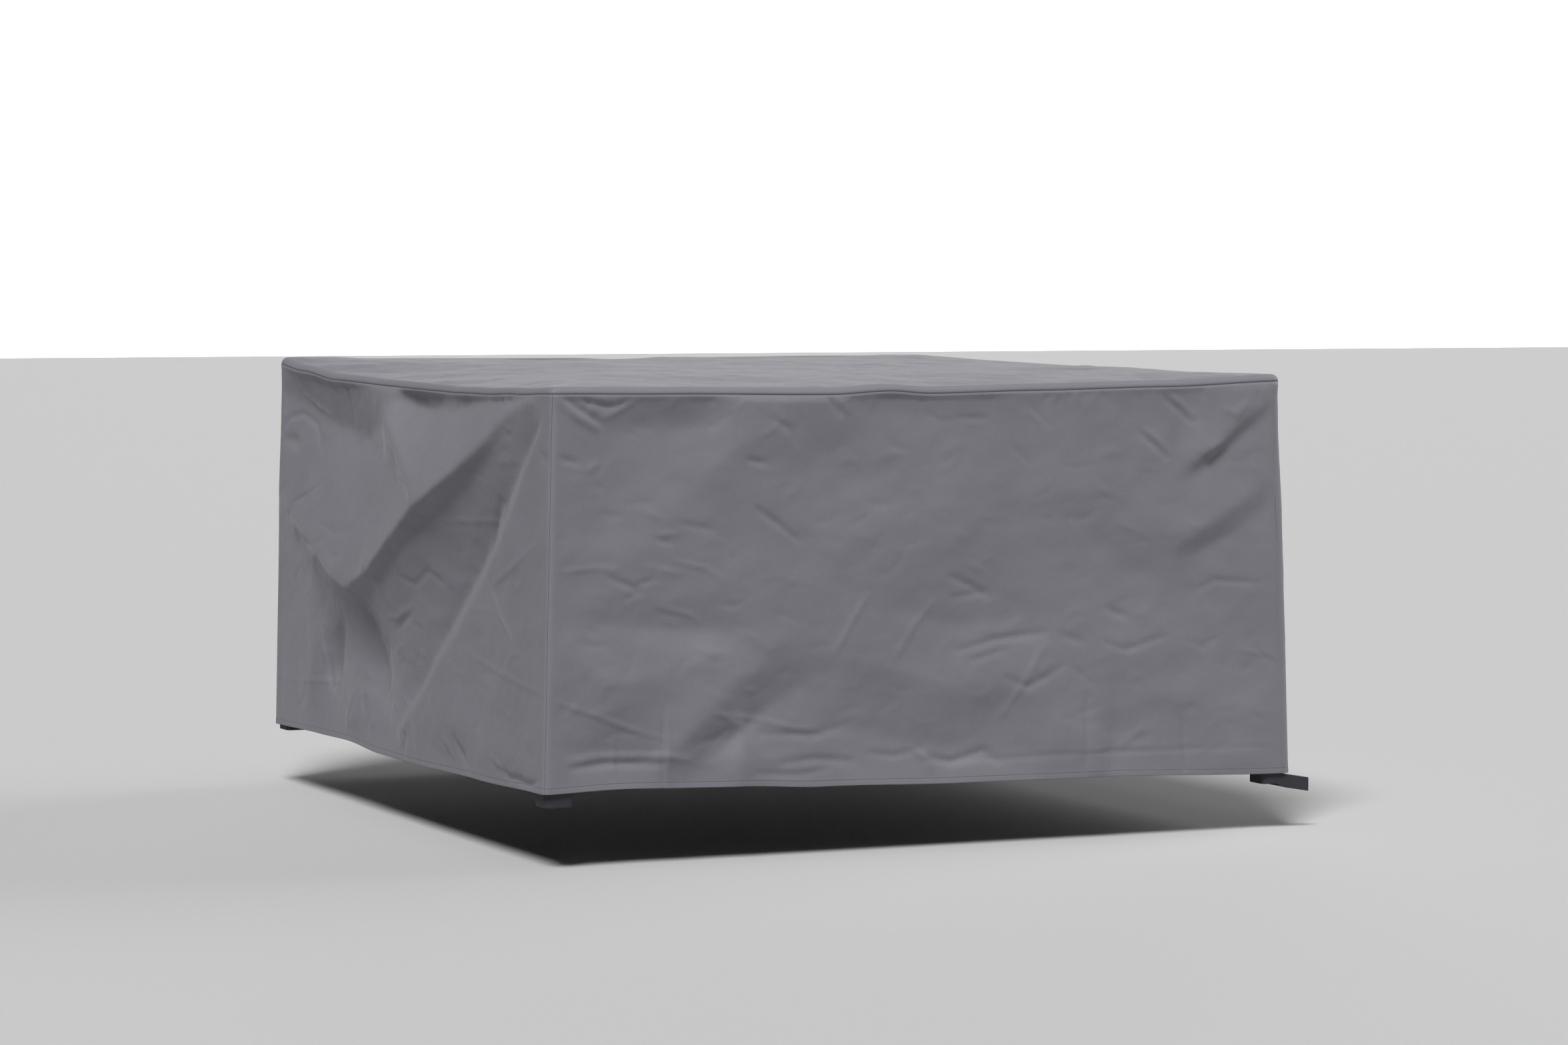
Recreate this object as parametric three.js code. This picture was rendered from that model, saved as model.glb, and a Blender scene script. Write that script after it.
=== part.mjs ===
// Fitted cover for a patio dining set of a table and four armchairs.
//
// Units are millimetres, +Z is up. The origin is the underside of the top panel at its middle, where
// the cover rests on the furniture. X runs along the long sides, the front skirt faces -Y and the
// deeply folded end faces -X. The furniture is not part of the cover: the skirt hangs from the chair
// backs, is pushed out by armrests and legs, and sinks in where nothing stands behind it.
//
// Every cloth piece is a thin closed sheet about a middle surface. A skirt panel is a ruled wall
// between the top outline and the hem outline. Its folds are drawn as lines with a depth, and the
// cloth between the lines is relaxed like a stretched skin.

import * as THREE from 'three';

// ---- Driving dimensions ----

const clothThickness = 2;
const seamGap = 0.4; // clear gap between two pieces sewn together
const edgeRadius = 12; // how tightly the top sheet curls over its edge
const topSheetHeight = clothThickness / 2; // middle surface of the top panel over the origin

// Corners go round the cover: front left, front right, back right, back left.
const cornerNames = ['front_left', 'front_right', 'back_right', 'back_left'];
const topCorners = [[-718, -697], [724, -694], [728, 700], [-715, 698]];
const topRadii = [16, 34, 34, 34]; // cloth round the top of a chair back
const hemCorners = [[-737, -712], [741, -712], [748, 712], [-720, 712]];
const hemRadii = [14, 26, 26, 26]; // cloth pulled round a chair leg
const seamShares = [0.5, 0.15, 0.5, 0.5]; // how far round each corner its seam runs

// Along each side: heights of the top edge and of the hem, and how far the top edge is pulled in,
// as [distance along the side, value].
const sides = [
  {
    name: 'front_panel',
    axis: 0,
    columns: 2,
    rows: 10,
    edge: [[-718, -5], [-515, -7], [-188, -11], [-79, -6], [2, -11], [206, -8], [477, -4], [724, 4]],
    hem: [[-737, -693], [-600, -690], [-377, -695], [-214, -703], [66, -709], [310, -711], [741, -722]],
    pull: [[-716, 0], [714, 0]],
  },
  {
    name: 'right_end_panel',
    axis: 1,
    columns: 1,
    rows: 10,
    edge: [[-694, 4], [-350, 0], [60, -1], [420, 0], [700, 2]],
    hem: [[-712, -722], [-80, -716], [90, -715], [712, -714]],
    pull: [[-692, 0], [-300, 8], [300, 8], [698, 0]],
  },
  {
    name: 'back_panel',
    axis: 0,
    columns: 1,
    rows: 10,
    edge: [[728, 2], [470, 4], [90, 2], [0, 0], [-90, 3], [-480, 5], [-715, 9]],
    hem: [[748, -714], [90, -709], [-90, -708], [-720, -709]],
    pull: [[724, 0], [-700, 0]],
  },
  {
    name: 'left_end_panel',
    axis: 1,
    columns: 3,
    rows: 18,
    edge: [
      [698, 9], [560, -2], [400, -14], [160, -19], [-130, -20], [-330, -17], [-520, -11],
      [-697, -5],
    ],
    hem: [[712, -709], [430, -703], [260, -700], [110, -707], [-60, -706], [-400, -700], [-712, -693]],
    pull: [[698, 0], [590, 2], [420, 10], [160, 34], [-100, 34], [-325, 20], [-543, 7], [-670, 0]],
  },
];

// Fold lines of each skirt panel: points are [distance along the side, height, depth inward].
// A ridge that something pushes out has no depth or less than none, a trough has more.
const foldLines = {
  front_panel: [
    // Hollows and swells under the top edge.
    [[-650, -90, 3], [-560, -72, 9], [-456, -78, 10], [-400, -52, 6]],
    [[-300, -62, -2], [-370, -106, -5], [-480, -200, -4], [-560, -250, -2]],
    [[-250, -60, 1], [-120, -50, 6], [20, -60, 5], [180, -46, 2], [400, -60, 3]],
    [[-180, -170, 5], [0, -150, 2], [160, -190, 3]],
    // The fan of folds from the right top corner.
    [[690, -44, 0], [640, -70, -4], [600, -108, -6], [562, -136, -7], [532, -150, -4]],
    [[690, -64, 4], [640, -98, 6], [585, -136, 7], [530, -176, 6], [500, -200, 3]],
    [[690, -186, -2], [620, -228, -6], [560, -264, -6], [500, -290, -3]],
    [[690, -232, 3], [620, -278, 6], [555, -308, 6], [480, -335, 3]],
    [[520, -70, 5], [500, -110, 6], [505, -150, 5]],
    // Slack in the middle of the wall.
    [[-620, -360, -3], [-500, -370, -4], [-400, -350, -3]],
    [[-640, -410, 3], [-500, -420, 4], [-380, -430, 3]],
    [[-200, -250, -3], [-60, -300, -3], [60, -280, -2]],
    [[-60, -400, 4], [60, -430, 6], [220, -420, 5]],
    [[330, -300, 3], [460, -350, 5], [600, -420, 3]],
    // The swell and trough that run down to the left.
    [[-330, -470, -4], [-290, -440, -7], [-245, -428, -5]],
    [[-340, -492, -5], [-400, -528, -8], [-460, -588, -8], [-520, -640, -4]],
    [[-260, -520, 8], [-330, -572, 12], [-400, -622, 10], [-460, -672, 5]],
    [[-160, -480, -5], [-20, -520, -5], [120, -560, -4]],
    [[-200, -590, 9], [-80, -625, 12], [60, -650, 9]],
    // Feet of the folds, and legs that push the cloth out at the hem.
    [[-640, -500, -6], [-560, -510, -8], [-440, -470, -6]],
    [[-690, -618, 6], [-600, -628, 11], [-530, -632, 10]],
    [[-505, -545, -3], [-503, -600, -3], [-504, -645, -2]],
    [[-362, -585, -1], [-366, -640, -4], [-374, -690, -4]],
    [[180, -600, 3], [189, -650, 4], [188, -690, 2]],
    [[334, -540, 0], [334, -620, -5], [332, -705, -6]],
    [[372, -560, 3], [366, -640, 5], [366, -690, 3]],
    [[450, -560, -3], [600, -600, -3]],
    [[500, -600, 1], [520, -650, 4], [516, -700, 2]],
  ],
  right_end_panel: [
    // The wall falls in between two chairs, whose armrests meet in the middle.
    [[-660, -40, 4], [-400, -60, 22], [-60, -70, 30], [260, -66, 26], [600, -50, 10]],
    [[-660, -30, 0], [-500, -60, 0], [-300, -150, 0], [-95, -232, 0]],
    [[640, -40, 0], [520, -80, 4], [330, -150, 2], [110, -235, 0]],
    [[-95, -232, 0], [0, -250, 22], [110, -235, 0]],
    [[-30, -250, 26], [10, -420, 30], [0, -600, 14]],
    [[-90, -240, 2], [-88, -480, 8], [-85, -700, 0]],
    [[105, -240, 2], [98, -480, 8], [88, -700, 0]],
    [[-480, -260, 14], [-380, -420, 16], [-300, -600, 8]],
    [[480, -240, 12], [400, -420, 15], [330, -600, 8]],
  ],
  back_panel: [
    // Slack over the chair backs, and legs that push the cloth out at the hem.
    [[650, -50, 2], [400, -60, 6], [120, -50, 2]],
    [[60, -60, 6], [-20, -90, 7], [-80, -60, 4]],
    [[-160, -50, 2], [-420, -62, 6], [-640, -48, 2]],
    [[520, -220, 4], [380, -330, 8], [200, -380, 5]],
    [[-180, -250, 5], [-300, -360, 8], [-480, -400, 5]],
    [[60, -430, 9], [20, -540, 7], [-60, -600, 5]],
    [[560, -560, 5], [420, -620, 7], [240, -620, 5]],
    [[-240, -600, 6], [-420, -640, 6], [-560, -600, 4]],
    [[350, -520, -2], [350, -704, -4]],
    [[-340, -540, -2], [-340, -704, -4]],
  ],
  left_end_panel: [
    // The cloth drawn over the near chair's armrest, down to its tip.
    [
      [-661, -20, 0], [-553, -42, -4], [-490, -65, -9], [-448, -98, -16], [-386, -139, -28],
      [-291, -186, -40],
    ],
    [[-291, -186, -40], [-178, -231, -48]],
    // The swag that hangs from the tip to the far corner.
    [[-178, -231, -48], [-77, -287, -46], [23, -342, -40], [109, -375, -34], [232, -411, -26]],
    [[630, -260, -4], [573, -295, -10], [427, -344, -20], [315, -384, -26], [232, -411, -26]],
    // The step between the two facets.
    [[155, -38, 34], [136, -89, 8], [-19, -158, -20], [-178, -230, -48]],
    [[173, -91, 28], [285, -133, 46], [84, -185, 12], [-117, -225, -34]],
    // Hollows under the sagging top edge.
    [[670, -60, 8], [547, -85, 26], [423, -116, 40], [285, -133, 46]],
    [[104, -54, 44], [-28, -64, 46], [-176, -59, 40], [-370, -41, 26], [-565, -28, 9]],
    // Where the cloth tucks in under the armrest and the swag.
    [
      [-583, -47, 2], [-487, -91, -1], [-432, -128, -3], [-353, -173, -8], [-242, -227, -14],
      [-117, -278, -20],
    ],
    [[-117, -278, -20], [-27, -327, -20], [79, -381, -15], [179, -418, -8], [303, -457, 0]],
    [[567, -340, 2], [457, -408, 2], [397, -454, 8]],
    // The valley below the swag.
    [[309, -458, 4], [367, -518, 30], [391, -572, 36], [361, -632, 18]],
    [[184, -466, 22], [148, -550, 36], [105, -620, 20]],
    // The taut fold from the top corner to the hem, and the valley behind it.
    [
      [-712, -39, 0], [-646, -95, -4], [-609, -142, -6], [-576, -189, -6], [-525, -249, -6],
      [-482, -298, -6],
    ],
    [
      [-482, -298, -6], [-422, -348, -6], [-361, -399, -6], [-284, -464, -6], [-188, -538, -6],
      [-86, -607, -5],
    ],
    [[-86, -607, -5], [-16, -651, -4]],
    [
      [-644, -73, 5], [-569, -122, 14], [-490, -189, 22], [-427, -250, 28],
      [-346, -325, 31], [-263, -396, 31],
    ],
    [[-263, -396, 31], [-167, -481, 28], [-77, -561, 22], [3, -629, 12]],
    // Small folds low down.
    [[426, -444, 10], [462, -513, 2], [482, -604, -1], [514, -684, 0]],
    [[200, -604, 2], [251, -665, -4]],
  ],
};

// ---- Straps ----

const webbingThickness = 1.8;
const legHalf = 24; // half the side of a chair leg, which the straps loop round
const legCornerRadius = 10;
const strapClearance = 0.5; // between a strap and its leg

// Middle of each chair leg, the height of the strap's lower edge, its width, and how much wider the
// loop is at its upper edge, where it is sewn inside the hem.
const straps = [
  { corner: 0, leg: [-704, -680], low: -717, width: 30, flare: 3 },
  { corner: 1, leg: [706, -682], low: -741, width: 25, flare: 0, tail: 46 },
  { corner: 2, leg: [717, 682], low: -731, width: 25, flare: 0 },
  { corner: 3, leg: [-684, 682], low: -720, width: 25, flare: 0 },
];
const tailStep = 1.2; // gap between the two layers of the free tail
const tailOverhang = 2; // how far the rear layer of the tail passes the front one
const cornerDrop = 8.5; // how far the strap has sunk where it passes under the hem corner
const tailDrop = 8; // how far it sinks from there to its end

// ---- Colours ----

const clothColour = 0x75747a;
const topColour = 0x7a797f;
const strapColour = 0x2b2a31;

// ---- Mesh resolution ----

const arcSteps = 3; // stretches of each arc of a strap
const cornerSteps = 3; // columns from a corner's seam to the straight
const straightSteps = 14; // columns along each side between the corners
const topRings = (2 * cornerSteps + straightSteps) / 2;
const curlRings = 2; // rings of the top panel that form its curled edge
const reliefStep = 20; // grid of the relaxed folds
const relaxSweeps = 260;
const overRelaxation = 1.75;
const softenSweeps = 2; // passes that round the folds off after relaxing
const softenShare = 0.35; // of the way to the mean of its neighbours in each of them
const seamBlend = 16; // height below the top seam over which the folds grow from the pulled edge
const cornerBare = 8; // stretch beside a corner with no fold
const cornerBlend = 45; // and where the folds have their whole depth
const rowCrowding = 1.15; // above 1, rows of the skirt lie closer under the top edge
const edgeFall = 4; // how late the top panel drops to its edge

// ---- Small helpers ----

function between(a, b, t) {
  return a + (b - a) * t;
}

// Height or depth at a distance along a side, from a list of [distance, value] pairs.
function profileAt(profile, along) {
  const rising = profile[0][0] < profile[profile.length - 1][0];
  const pairs = rising ? profile : [...profile].reverse();
  if (along <= pairs[0][0]) {
    return pairs[0][1];
  }
  for (let i = 1; i < pairs.length; i += 1) {
    if (along <= pairs[i][0]) {
      const t = (along - pairs[i - 1][0]) / (pairs[i][0] - pairs[i - 1][0]);
      const soft = t * t * (3 - 2 * t);
      return between(pairs[i - 1][1], pairs[i][1], soft);
    }
  }
  return pairs[pairs.length - 1][1];
}

// Point on a rounded outline, on side k, from the seam of one corner to the seam of the next.
function outlinePoint(corners, radii, k, column) {
  const here = new THREE.Vector2(...corners[k]);
  const next = new THREE.Vector2(...corners[(k + 1) % 4]);
  const before = new THREE.Vector2(...corners[(k + 3) % 4]);
  const after = new THREE.Vector2(...corners[(k + 2) % 4]);
  const along = next.clone().sub(here).normalize();
  const arrive = here.clone().sub(before).normalize();
  const leave = after.clone().sub(next).normalize();
  const near = radii[k];
  const far = radii[(k + 1) % 4];
  const start = here.clone().addScaledVector(along, near);
  const end = next.clone().addScaledVector(along, -far);
  if (column < cornerSteps) {
    const from = here.clone().addScaledVector(arrive, -near);
    const t = between(seamShares[k], 1, column / cornerSteps);
    return new THREE.QuadraticBezierCurve(from, here, start).getPoint(t);
  }
  const past = column - cornerSteps - straightSteps;
  if (past > 0) {
    const to = next.clone().addScaledVector(leave, far);
    const t = (seamShares[(k + 1) % 4] * past) / cornerSteps;
    return new THREE.QuadraticBezierCurve(end, next, to).getPoint(t);
  }
  return start.lerp(end, (column - cornerSteps) / straightSteps);
}

// Outward direction of the top outline at a corner's seam.
function seamOut(corner) {
  const here = new THREE.Vector2(...topCorners[corner]);
  const arrive = here.clone().sub(new THREE.Vector2(...topCorners[(corner + 3) % 4])).normalize();
  const leave = new THREE.Vector2(...topCorners[(corner + 1) % 4]).sub(here).normalize();
  const direction = arrive.lerp(leave, seamShares[corner]).normalize();
  return new THREE.Vector2(direction.y, -direction.x);
}

// ---- Stations round the cover ----

// A station is one column of a skirt panel: its place at the top edge and at the hem, and the
// outward direction in plan. The top panel uses the same stations, so the seams lie edge to edge.
function makeStations(k) {
  const side = sides[k];
  const axisName = side.axis === 0 ? 'x' : 'y';
  const count = 2 * cornerSteps + straightSteps;
  const stations = [];
  for (let c = 0; c <= count; c += 1) {
    const top = outlinePoint(topCorners, topRadii, k, c);
    const hem = outlinePoint(hemCorners, hemRadii, k, c);
    const edge = profileAt(side.edge, top[axisName]);
    const foot = profileAt(side.hem, hem[axisName]);
    stations.push({ top, hem, edge, foot });
  }
  const reach = stations.map((station) => station.hem[axisName]);
  const low = Math.min(...reach);
  const high = Math.max(...reach);
  stations.forEach((station, c) => {
    const ahead = stations[Math.min(c + 1, count)].top;
    const behind = stations[Math.max(c - 1, 0)].top;
    const direction = ahead.clone().sub(behind).normalize();
    station.out = new THREE.Vector2(direction.y, -direction.x);
    const along = station.top[axisName];
    station.pull = profileAt(side.pull, along) * awayFromCorners(along, low, high);
  });
  stations[0].out = seamOut(k);
  stations[count].out = seamOut((k + 1) % 4);
  return stations;
}

// Zero beside the corners of a side, one away from them.
function awayFromCorners(along, low, high) {
  const distance = Math.min(along - low, high - along);
  return THREE.MathUtils.smoothstep(distance, cornerBare, cornerBlend);
}

// Adds columns on the straight stretch, each on the chord between two stations.
function refineStations(stations, parts) {
  const fine = [];
  stations.forEach((station, c) => {
    fine.push(station);
    const straight = c >= cornerSteps && c < cornerSteps + straightSteps;
    for (let i = 1; straight && i < parts; i += 1) {
      const other = stations[c + 1];
      const t = i / parts;
      fine.push({
        top: station.top.clone().lerp(other.top, t),
        hem: station.hem.clone().lerp(other.hem, t),
        edge: between(station.edge, other.edge, t),
        foot: between(station.foot, other.foot, t),
        pull: between(station.pull, other.pull, t),
        out: station.out.clone().lerp(other.out, t).normalize(),
      });
    }
  });
  return fine;
}

const stationsOfSide = sides.map((side, k) => makeStations(k));

// ---- Relief of a skirt panel ----

// Depth of the cloth behind the flat wall. The fold lines and the pulled top edge hold the grid, and
// every other point moves to the mean of its neighbours until the skin between them is taut.
function relaxRelief(lines, pull, low, high, foot) {
  const columns = Math.round((high - low) / reliefStep);
  const rows = Math.round(-foot / reliefStep);
  const depth = new Float64Array((columns + 1) * (rows + 1));
  const held = new Uint8Array(depth.length);
  const at = (c, r) => r * (columns + 1) + c;
  for (let r = 0; r <= rows; r += 1) {
    held[at(0, r)] = 1;
    held[at(columns, r)] = 1;
  }
  for (let c = 0; c <= columns; c += 1) {
    held[at(c, 0)] = 1;
    held[at(c, rows)] = 1;
    depth[at(c, 0)] = profileAt(pull, low + c * reliefStep);
  }
  lines.forEach((line) => {
    for (let i = 1; i < line.length; i += 1) {
      const [a0, z0, d0] = line[i - 1];
      const [a1, z1, d1] = line[i];
      const pieces = Math.ceil(Math.hypot(a1 - a0, z1 - z0) / (reliefStep / 2));
      for (let j = 0; j <= pieces; j += 1) {
        const t = j / pieces;
        const c = Math.round((between(a0, a1, t) - low) / reliefStep);
        const r = Math.round(-between(z0, z1, t) / reliefStep);
        const inside = c > 0 && c < columns && r > 0 && r <= rows;
        if (inside) {
          depth[at(c, r)] = between(d0, d1, t);
          held[at(c, r)] = 1;
        }
      }
    }
  });
  const sweepOver = (share, everywhere) => {
    for (let r = 1; r < rows; r += 1) {
      for (let c = 1; c < columns; c += 1) {
        const i = at(c, r);
        if (everywhere || !held[i]) {
          const mean = (depth[i - 1] + depth[i + 1] + depth[at(c, r - 1)] + depth[at(c, r + 1)]) / 4;
          depth[i] += share * (mean - depth[i]);
        }
      }
    }
  };
  for (let sweep = 0; sweep < relaxSweeps; sweep += 1) {
    sweepOver(overRelaxation, false);
  }
  for (let sweep = 0; sweep < softenSweeps; sweep += 1) {
    sweepOver(softenShare, true);
  }
  return (along, height) => {
    const c = THREE.MathUtils.clamp((along - low) / reliefStep, 0, columns - 1e-6);
    const r = THREE.MathUtils.clamp(-height / reliefStep, 0, rows - 1e-6);
    const c0 = Math.floor(c);
    const r0 = Math.floor(r);
    const upper = between(depth[at(c0, r0)], depth[at(c0 + 1, r0)], c - c0);
    const lower = between(depth[at(c0, r0 + 1)], depth[at(c0 + 1, r0 + 1)], c - c0);
    return between(upper, lower, r - r0);
  };
}

// ---- Closed sheet about a grid of points ----

// Each node of the grid is { p, n }, the point and the outward direction. Quads are split along the
// diagonal that bends least.
function sheetGeometry(grid) {
  const rows = grid.length;
  const columns = grid[0].length;
  const positions = [];
  [0.5, -0.5].forEach((half) => {
    grid.forEach((row) => {
      row.forEach(({ p, n }) => {
        positions.push(...p.clone().addScaledVector(n, half * clothThickness).toArray());
      });
    });
  });
  const outer = (r, c) => r * columns + c;
  const inner = (r, c) => rows * columns + r * columns + c;
  const index = [];
  const quad = (a, b, c, d) => index.push(a, b, c, a, c, d);
  for (let r = 0; r + 1 < rows; r += 1) {
    for (let c = 0; c + 1 < columns; c += 1) {
      const bendA = grid[r][c].n.dot(grid[r + 1][c + 1].n);
      const bendB = grid[r][c + 1].n.dot(grid[r + 1][c].n);
      if (bendA >= bendB) {
        quad(outer(r, c), outer(r + 1, c), outer(r + 1, c + 1), outer(r, c + 1));
        quad(inner(r, c), inner(r, c + 1), inner(r + 1, c + 1), inner(r + 1, c));
      } else {
        quad(outer(r, c + 1), outer(r, c), outer(r + 1, c), outer(r + 1, c + 1));
        quad(inner(r, c + 1), inner(r + 1, c + 1), inner(r + 1, c), inner(r, c));
      }
    }
  }
  for (let c = 0; c + 1 < columns; c += 1) {
    quad(outer(0, c), outer(0, c + 1), inner(0, c + 1), inner(0, c));
    quad(outer(rows - 1, c + 1), outer(rows - 1, c), inner(rows - 1, c), inner(rows - 1, c + 1));
  }
  for (let r = 0; r + 1 < rows; r += 1) {
    quad(outer(r + 1, 0), outer(r, 0), inner(r, 0), inner(r + 1, 0));
    quad(outer(r, columns - 1), outer(r + 1, columns - 1), inner(r + 1, columns - 1), inner(r, columns - 1));
  }
  const geometry = new THREE.BufferGeometry();
  geometry.setAttribute('position', new THREE.Float32BufferAttribute(positions, 3));
  geometry.setIndex(index);
  geometry.computeVertexNormals();
  return geometry;
}

// Outward directions of a grid of points, from the points around each one.
function gridDirections(points) {
  const rows = points.length;
  const columns = points[0].length;
  return points.map((row, r) => row.map((p, c) => {
    const down = points[Math.min(r + 1, rows - 1)][c].clone().sub(points[Math.max(r - 1, 0)][c]);
    const across = row[Math.min(c + 1, columns - 1)].clone().sub(row[Math.max(c - 1, 0)]);
    return { p, n: down.cross(across).normalize() };
  }));
}

// ---- Skirt panels ----

function skirtPanel(k) {
  const side = sides[k];
  const stations = refineStations(stationsOfSide[k], side.columns);
  const last = stations.length - 1;
  const axisName = side.axis === 0 ? 'x' : 'y';
  const reach = stations.map((station) => station.hem[axisName]);
  const low = Math.min(...reach);
  const high = Math.max(...reach);
  const foot = Math.min(...stations.map((station) => station.foot));
  const relief = relaxRelief(foldLines[side.name], side.pull, low, high, foot);
  const points = [];
  for (let r = 0; r <= side.rows; r += 1) {
    const fall = (r / side.rows) ** rowCrowding;
    points.push(stations.map((station) => {
      const start = station.edge - edgeRadius - seamGap;
      const height = between(start, station.foot, fall);
      const plan = station.top.clone().lerp(station.hem, fall);
      const along = plan[axisName];
      const folded = relief(along, height) * awayFromCorners(along, low, high);
      const depth = between(station.pull, folded, Math.min(1, (start - height) / seamBlend));
      plan.addScaledVector(station.out, -depth);
      return new THREE.Vector3(plan.x, plan.y, height);
    }));
  }
  points.forEach((row) => {
    row[0].add(row[1].clone().sub(row[0]).setLength(seamGap / 2));
    row[last].add(row[last - 1].clone().sub(row[last]).setLength(seamGap / 2));
  });
  const grid = gridDirections(points);
  // The seams are cut square to the cloth, in the direction that the neighbour shares.
  grid.forEach((row) => {
    [0, last].forEach((c) => row[c].n.set(stations[c].out.x, stations[c].out.y, 0));
  });
  grid[0].forEach((node, c) => node.n.set(stations[c].out.x, stations[c].out.y, 0));
  return sheetGeometry(grid);
}

// ---- Top panel ----

// Square rings about the middle: ring m follows the outline at that share of its size, and the last
// rings curl over the edge.
function topPanel() {
  const size = 2 * topRings;
  const flatRings = topRings - curlRings;
  const points = [];
  for (let row = 0; row <= size; row += 1) {
    points.push([]);
    for (let column = 0; column <= size; column += 1) {
      const a = column - topRings;
      const b = row - topRings;
      const ring = Math.max(Math.abs(a), Math.abs(b));
      points[row].push(topPoint(a, b, ring, flatRings));
    }
  }
  const grid = gridDirections(points.map((row) => row.map((node) => node.p)));
  grid.forEach((row, r) => row.forEach((node, c) => {
    node.n.negate();
    const { out } = points[r][c];
    if (out) {
      node.n.set(out.x, out.y, 0);
    }
  }));
  return sheetGeometry(grid.map((row) => [...row].reverse()));
}

// Which side a grid node faces, and how far along that side it is.
function sideOfNode(a, b, ring) {
  if (b === -ring && a < ring) {
    return [0, a];
  }
  if (a === ring && b < ring) {
    return [1, b];
  }
  if (b === ring && a > -ring) {
    return [2, -a];
  }
  return [3, -b];
}

function topPoint(a, b, ring, flatRings) {
  if (ring === 0) {
    return { p: new THREE.Vector3(0, 0, topSheetHeight) };
  }
  const [k, place] = sideOfNode(a, b, ring);
  const stations = stationsOfSide[k];
  const position = ((place + ring) / (2 * ring)) * (stations.length - 1);
  const first = Math.min(Math.floor(position), stations.length - 2);
  const t = position - first;
  const station = stations[first];
  const other = stations[first + 1];
  const plan = station.top.clone().lerp(other.top, t);
  const out = station.out.clone().lerp(other.out, t).normalize();
  const edge = between(station.edge, other.edge, t);
  plan.addScaledVector(out, -between(station.pull, other.pull, t));
  if (ring > flatRings) {
    const angle = ((ring - flatRings) / curlRings) * (Math.PI / 2);
    plan.addScaledVector(out, -edgeRadius * (1 - Math.sin(angle)));
    const height = edge - edgeRadius * (1 - Math.cos(angle));
    const p = new THREE.Vector3(plan.x, plan.y, height);
    return ring === topRings ? { p, out: station.out } : { p };
  }
  const share = ring / flatRings;
  plan.addScaledVector(out, -edgeRadius).multiplyScalar(share);
  return { p: new THREE.Vector3(plan.x, plan.y, between(topSheetHeight, edge, share ** edgeFall)) };
}

// ---- Straps ----

// Plan of a strap's middle line round its leg, from the corner that points out of the cover.
function loopPlan(centre, half, radius) {
  const path = new THREE.Path();
  const inner = half - radius;
  path.absarc(centre[0] + inner, centre[1] - inner, radius, -Math.PI / 2, 0, false);
  path.absarc(centre[0] + inner, centre[1] + inner, radius, 0, Math.PI / 2, false);
  path.absarc(centre[0] - inner, centre[1] + inner, radius, Math.PI / 2, Math.PI, false);
  path.absarc(centre[0] - inner, centre[1] - inner, radius, Math.PI, 1.5 * Math.PI, false);
  return path;
}

// A band of webbing along a plan: each stop is { plan, out, top, low } and the band stands on edge.
function bandGeometry(stops, closed) {
  const positions = [];
  const half = webbingThickness / 2;
  stops.forEach(({ upper, lower, out, top, low }) => {
    [[upper, half, top], [lower, half, low], [lower, -half, low], [upper, -half, top]].forEach(
      ([plan, side, height]) => positions.push(plan.x + out.x * side, plan.y + out.y * side, height),
    );
  });
  const index = [];
  const count = closed ? stops.length : stops.length - 1;
  for (let i = 0; i < count; i += 1) {
    const here = 4 * i;
    const next = 4 * ((i + 1) % stops.length);
    for (let e = 0; e < 4; e += 1) {
      const f = (e + 1) % 4;
      index.push(here + e, here + f, next + f, here + e, next + f, next + e);
    }
  }
  if (!closed) {
    const end = 4 * (stops.length - 1);
    index.push(0, 3, 2, 0, 2, 1, end, end + 1, end + 2, end, end + 2, end + 3);
  }
  const geometry = new THREE.BufferGeometry();
  geometry.setAttribute('position', new THREE.Float32BufferAttribute(positions, 3));
  geometry.setIndex(index);
  geometry.computeVertexNormals();
  return geometry;
}

const loopHalf = legHalf + strapClearance + webbingThickness / 2;
const loopRadius = legCornerRadius + strapClearance + webbingThickness / 2;

// A closed loop, wider at its upper edge by the flare.
function closedStrap(strap) {
  const lower = loopPlan(strap.leg, loopHalf, loopRadius).getPoints(arcSteps);
  const upper = loopPlan(strap.leg, loopHalf + strap.flare / 2, loopRadius).getPoints(arcSteps);
  const centre = new THREE.Vector2(...strap.leg);
  const unique = lower.filter((point, i) => i === 0 || point.distanceTo(lower[i - 1]) > 0.01);
  const uniqueUpper = upper.filter((point, i) => i === 0 || point.distanceTo(upper[i - 1]) > 0.01);
  const stops = unique.map((point, i) => ({
    lower: point,
    upper: uniqueUpper[i],
    out: outOfLoop(unique, i, centre),
    top: strap.low + strap.width,
    low: strap.low,
  }));
  return bandGeometry(stops, true);
}

function outOfLoop(points, i, centre) {
  const ahead = points[(i + 1) % points.length];
  const behind = points[(i + points.length - 1) % points.length];
  const direction = ahead.clone().sub(behind).normalize();
  const out = new THREE.Vector2(direction.y, -direction.x);
  return out.dot(points[i].clone().sub(centre)) < 0 ? out.negate() : out;
}

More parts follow.
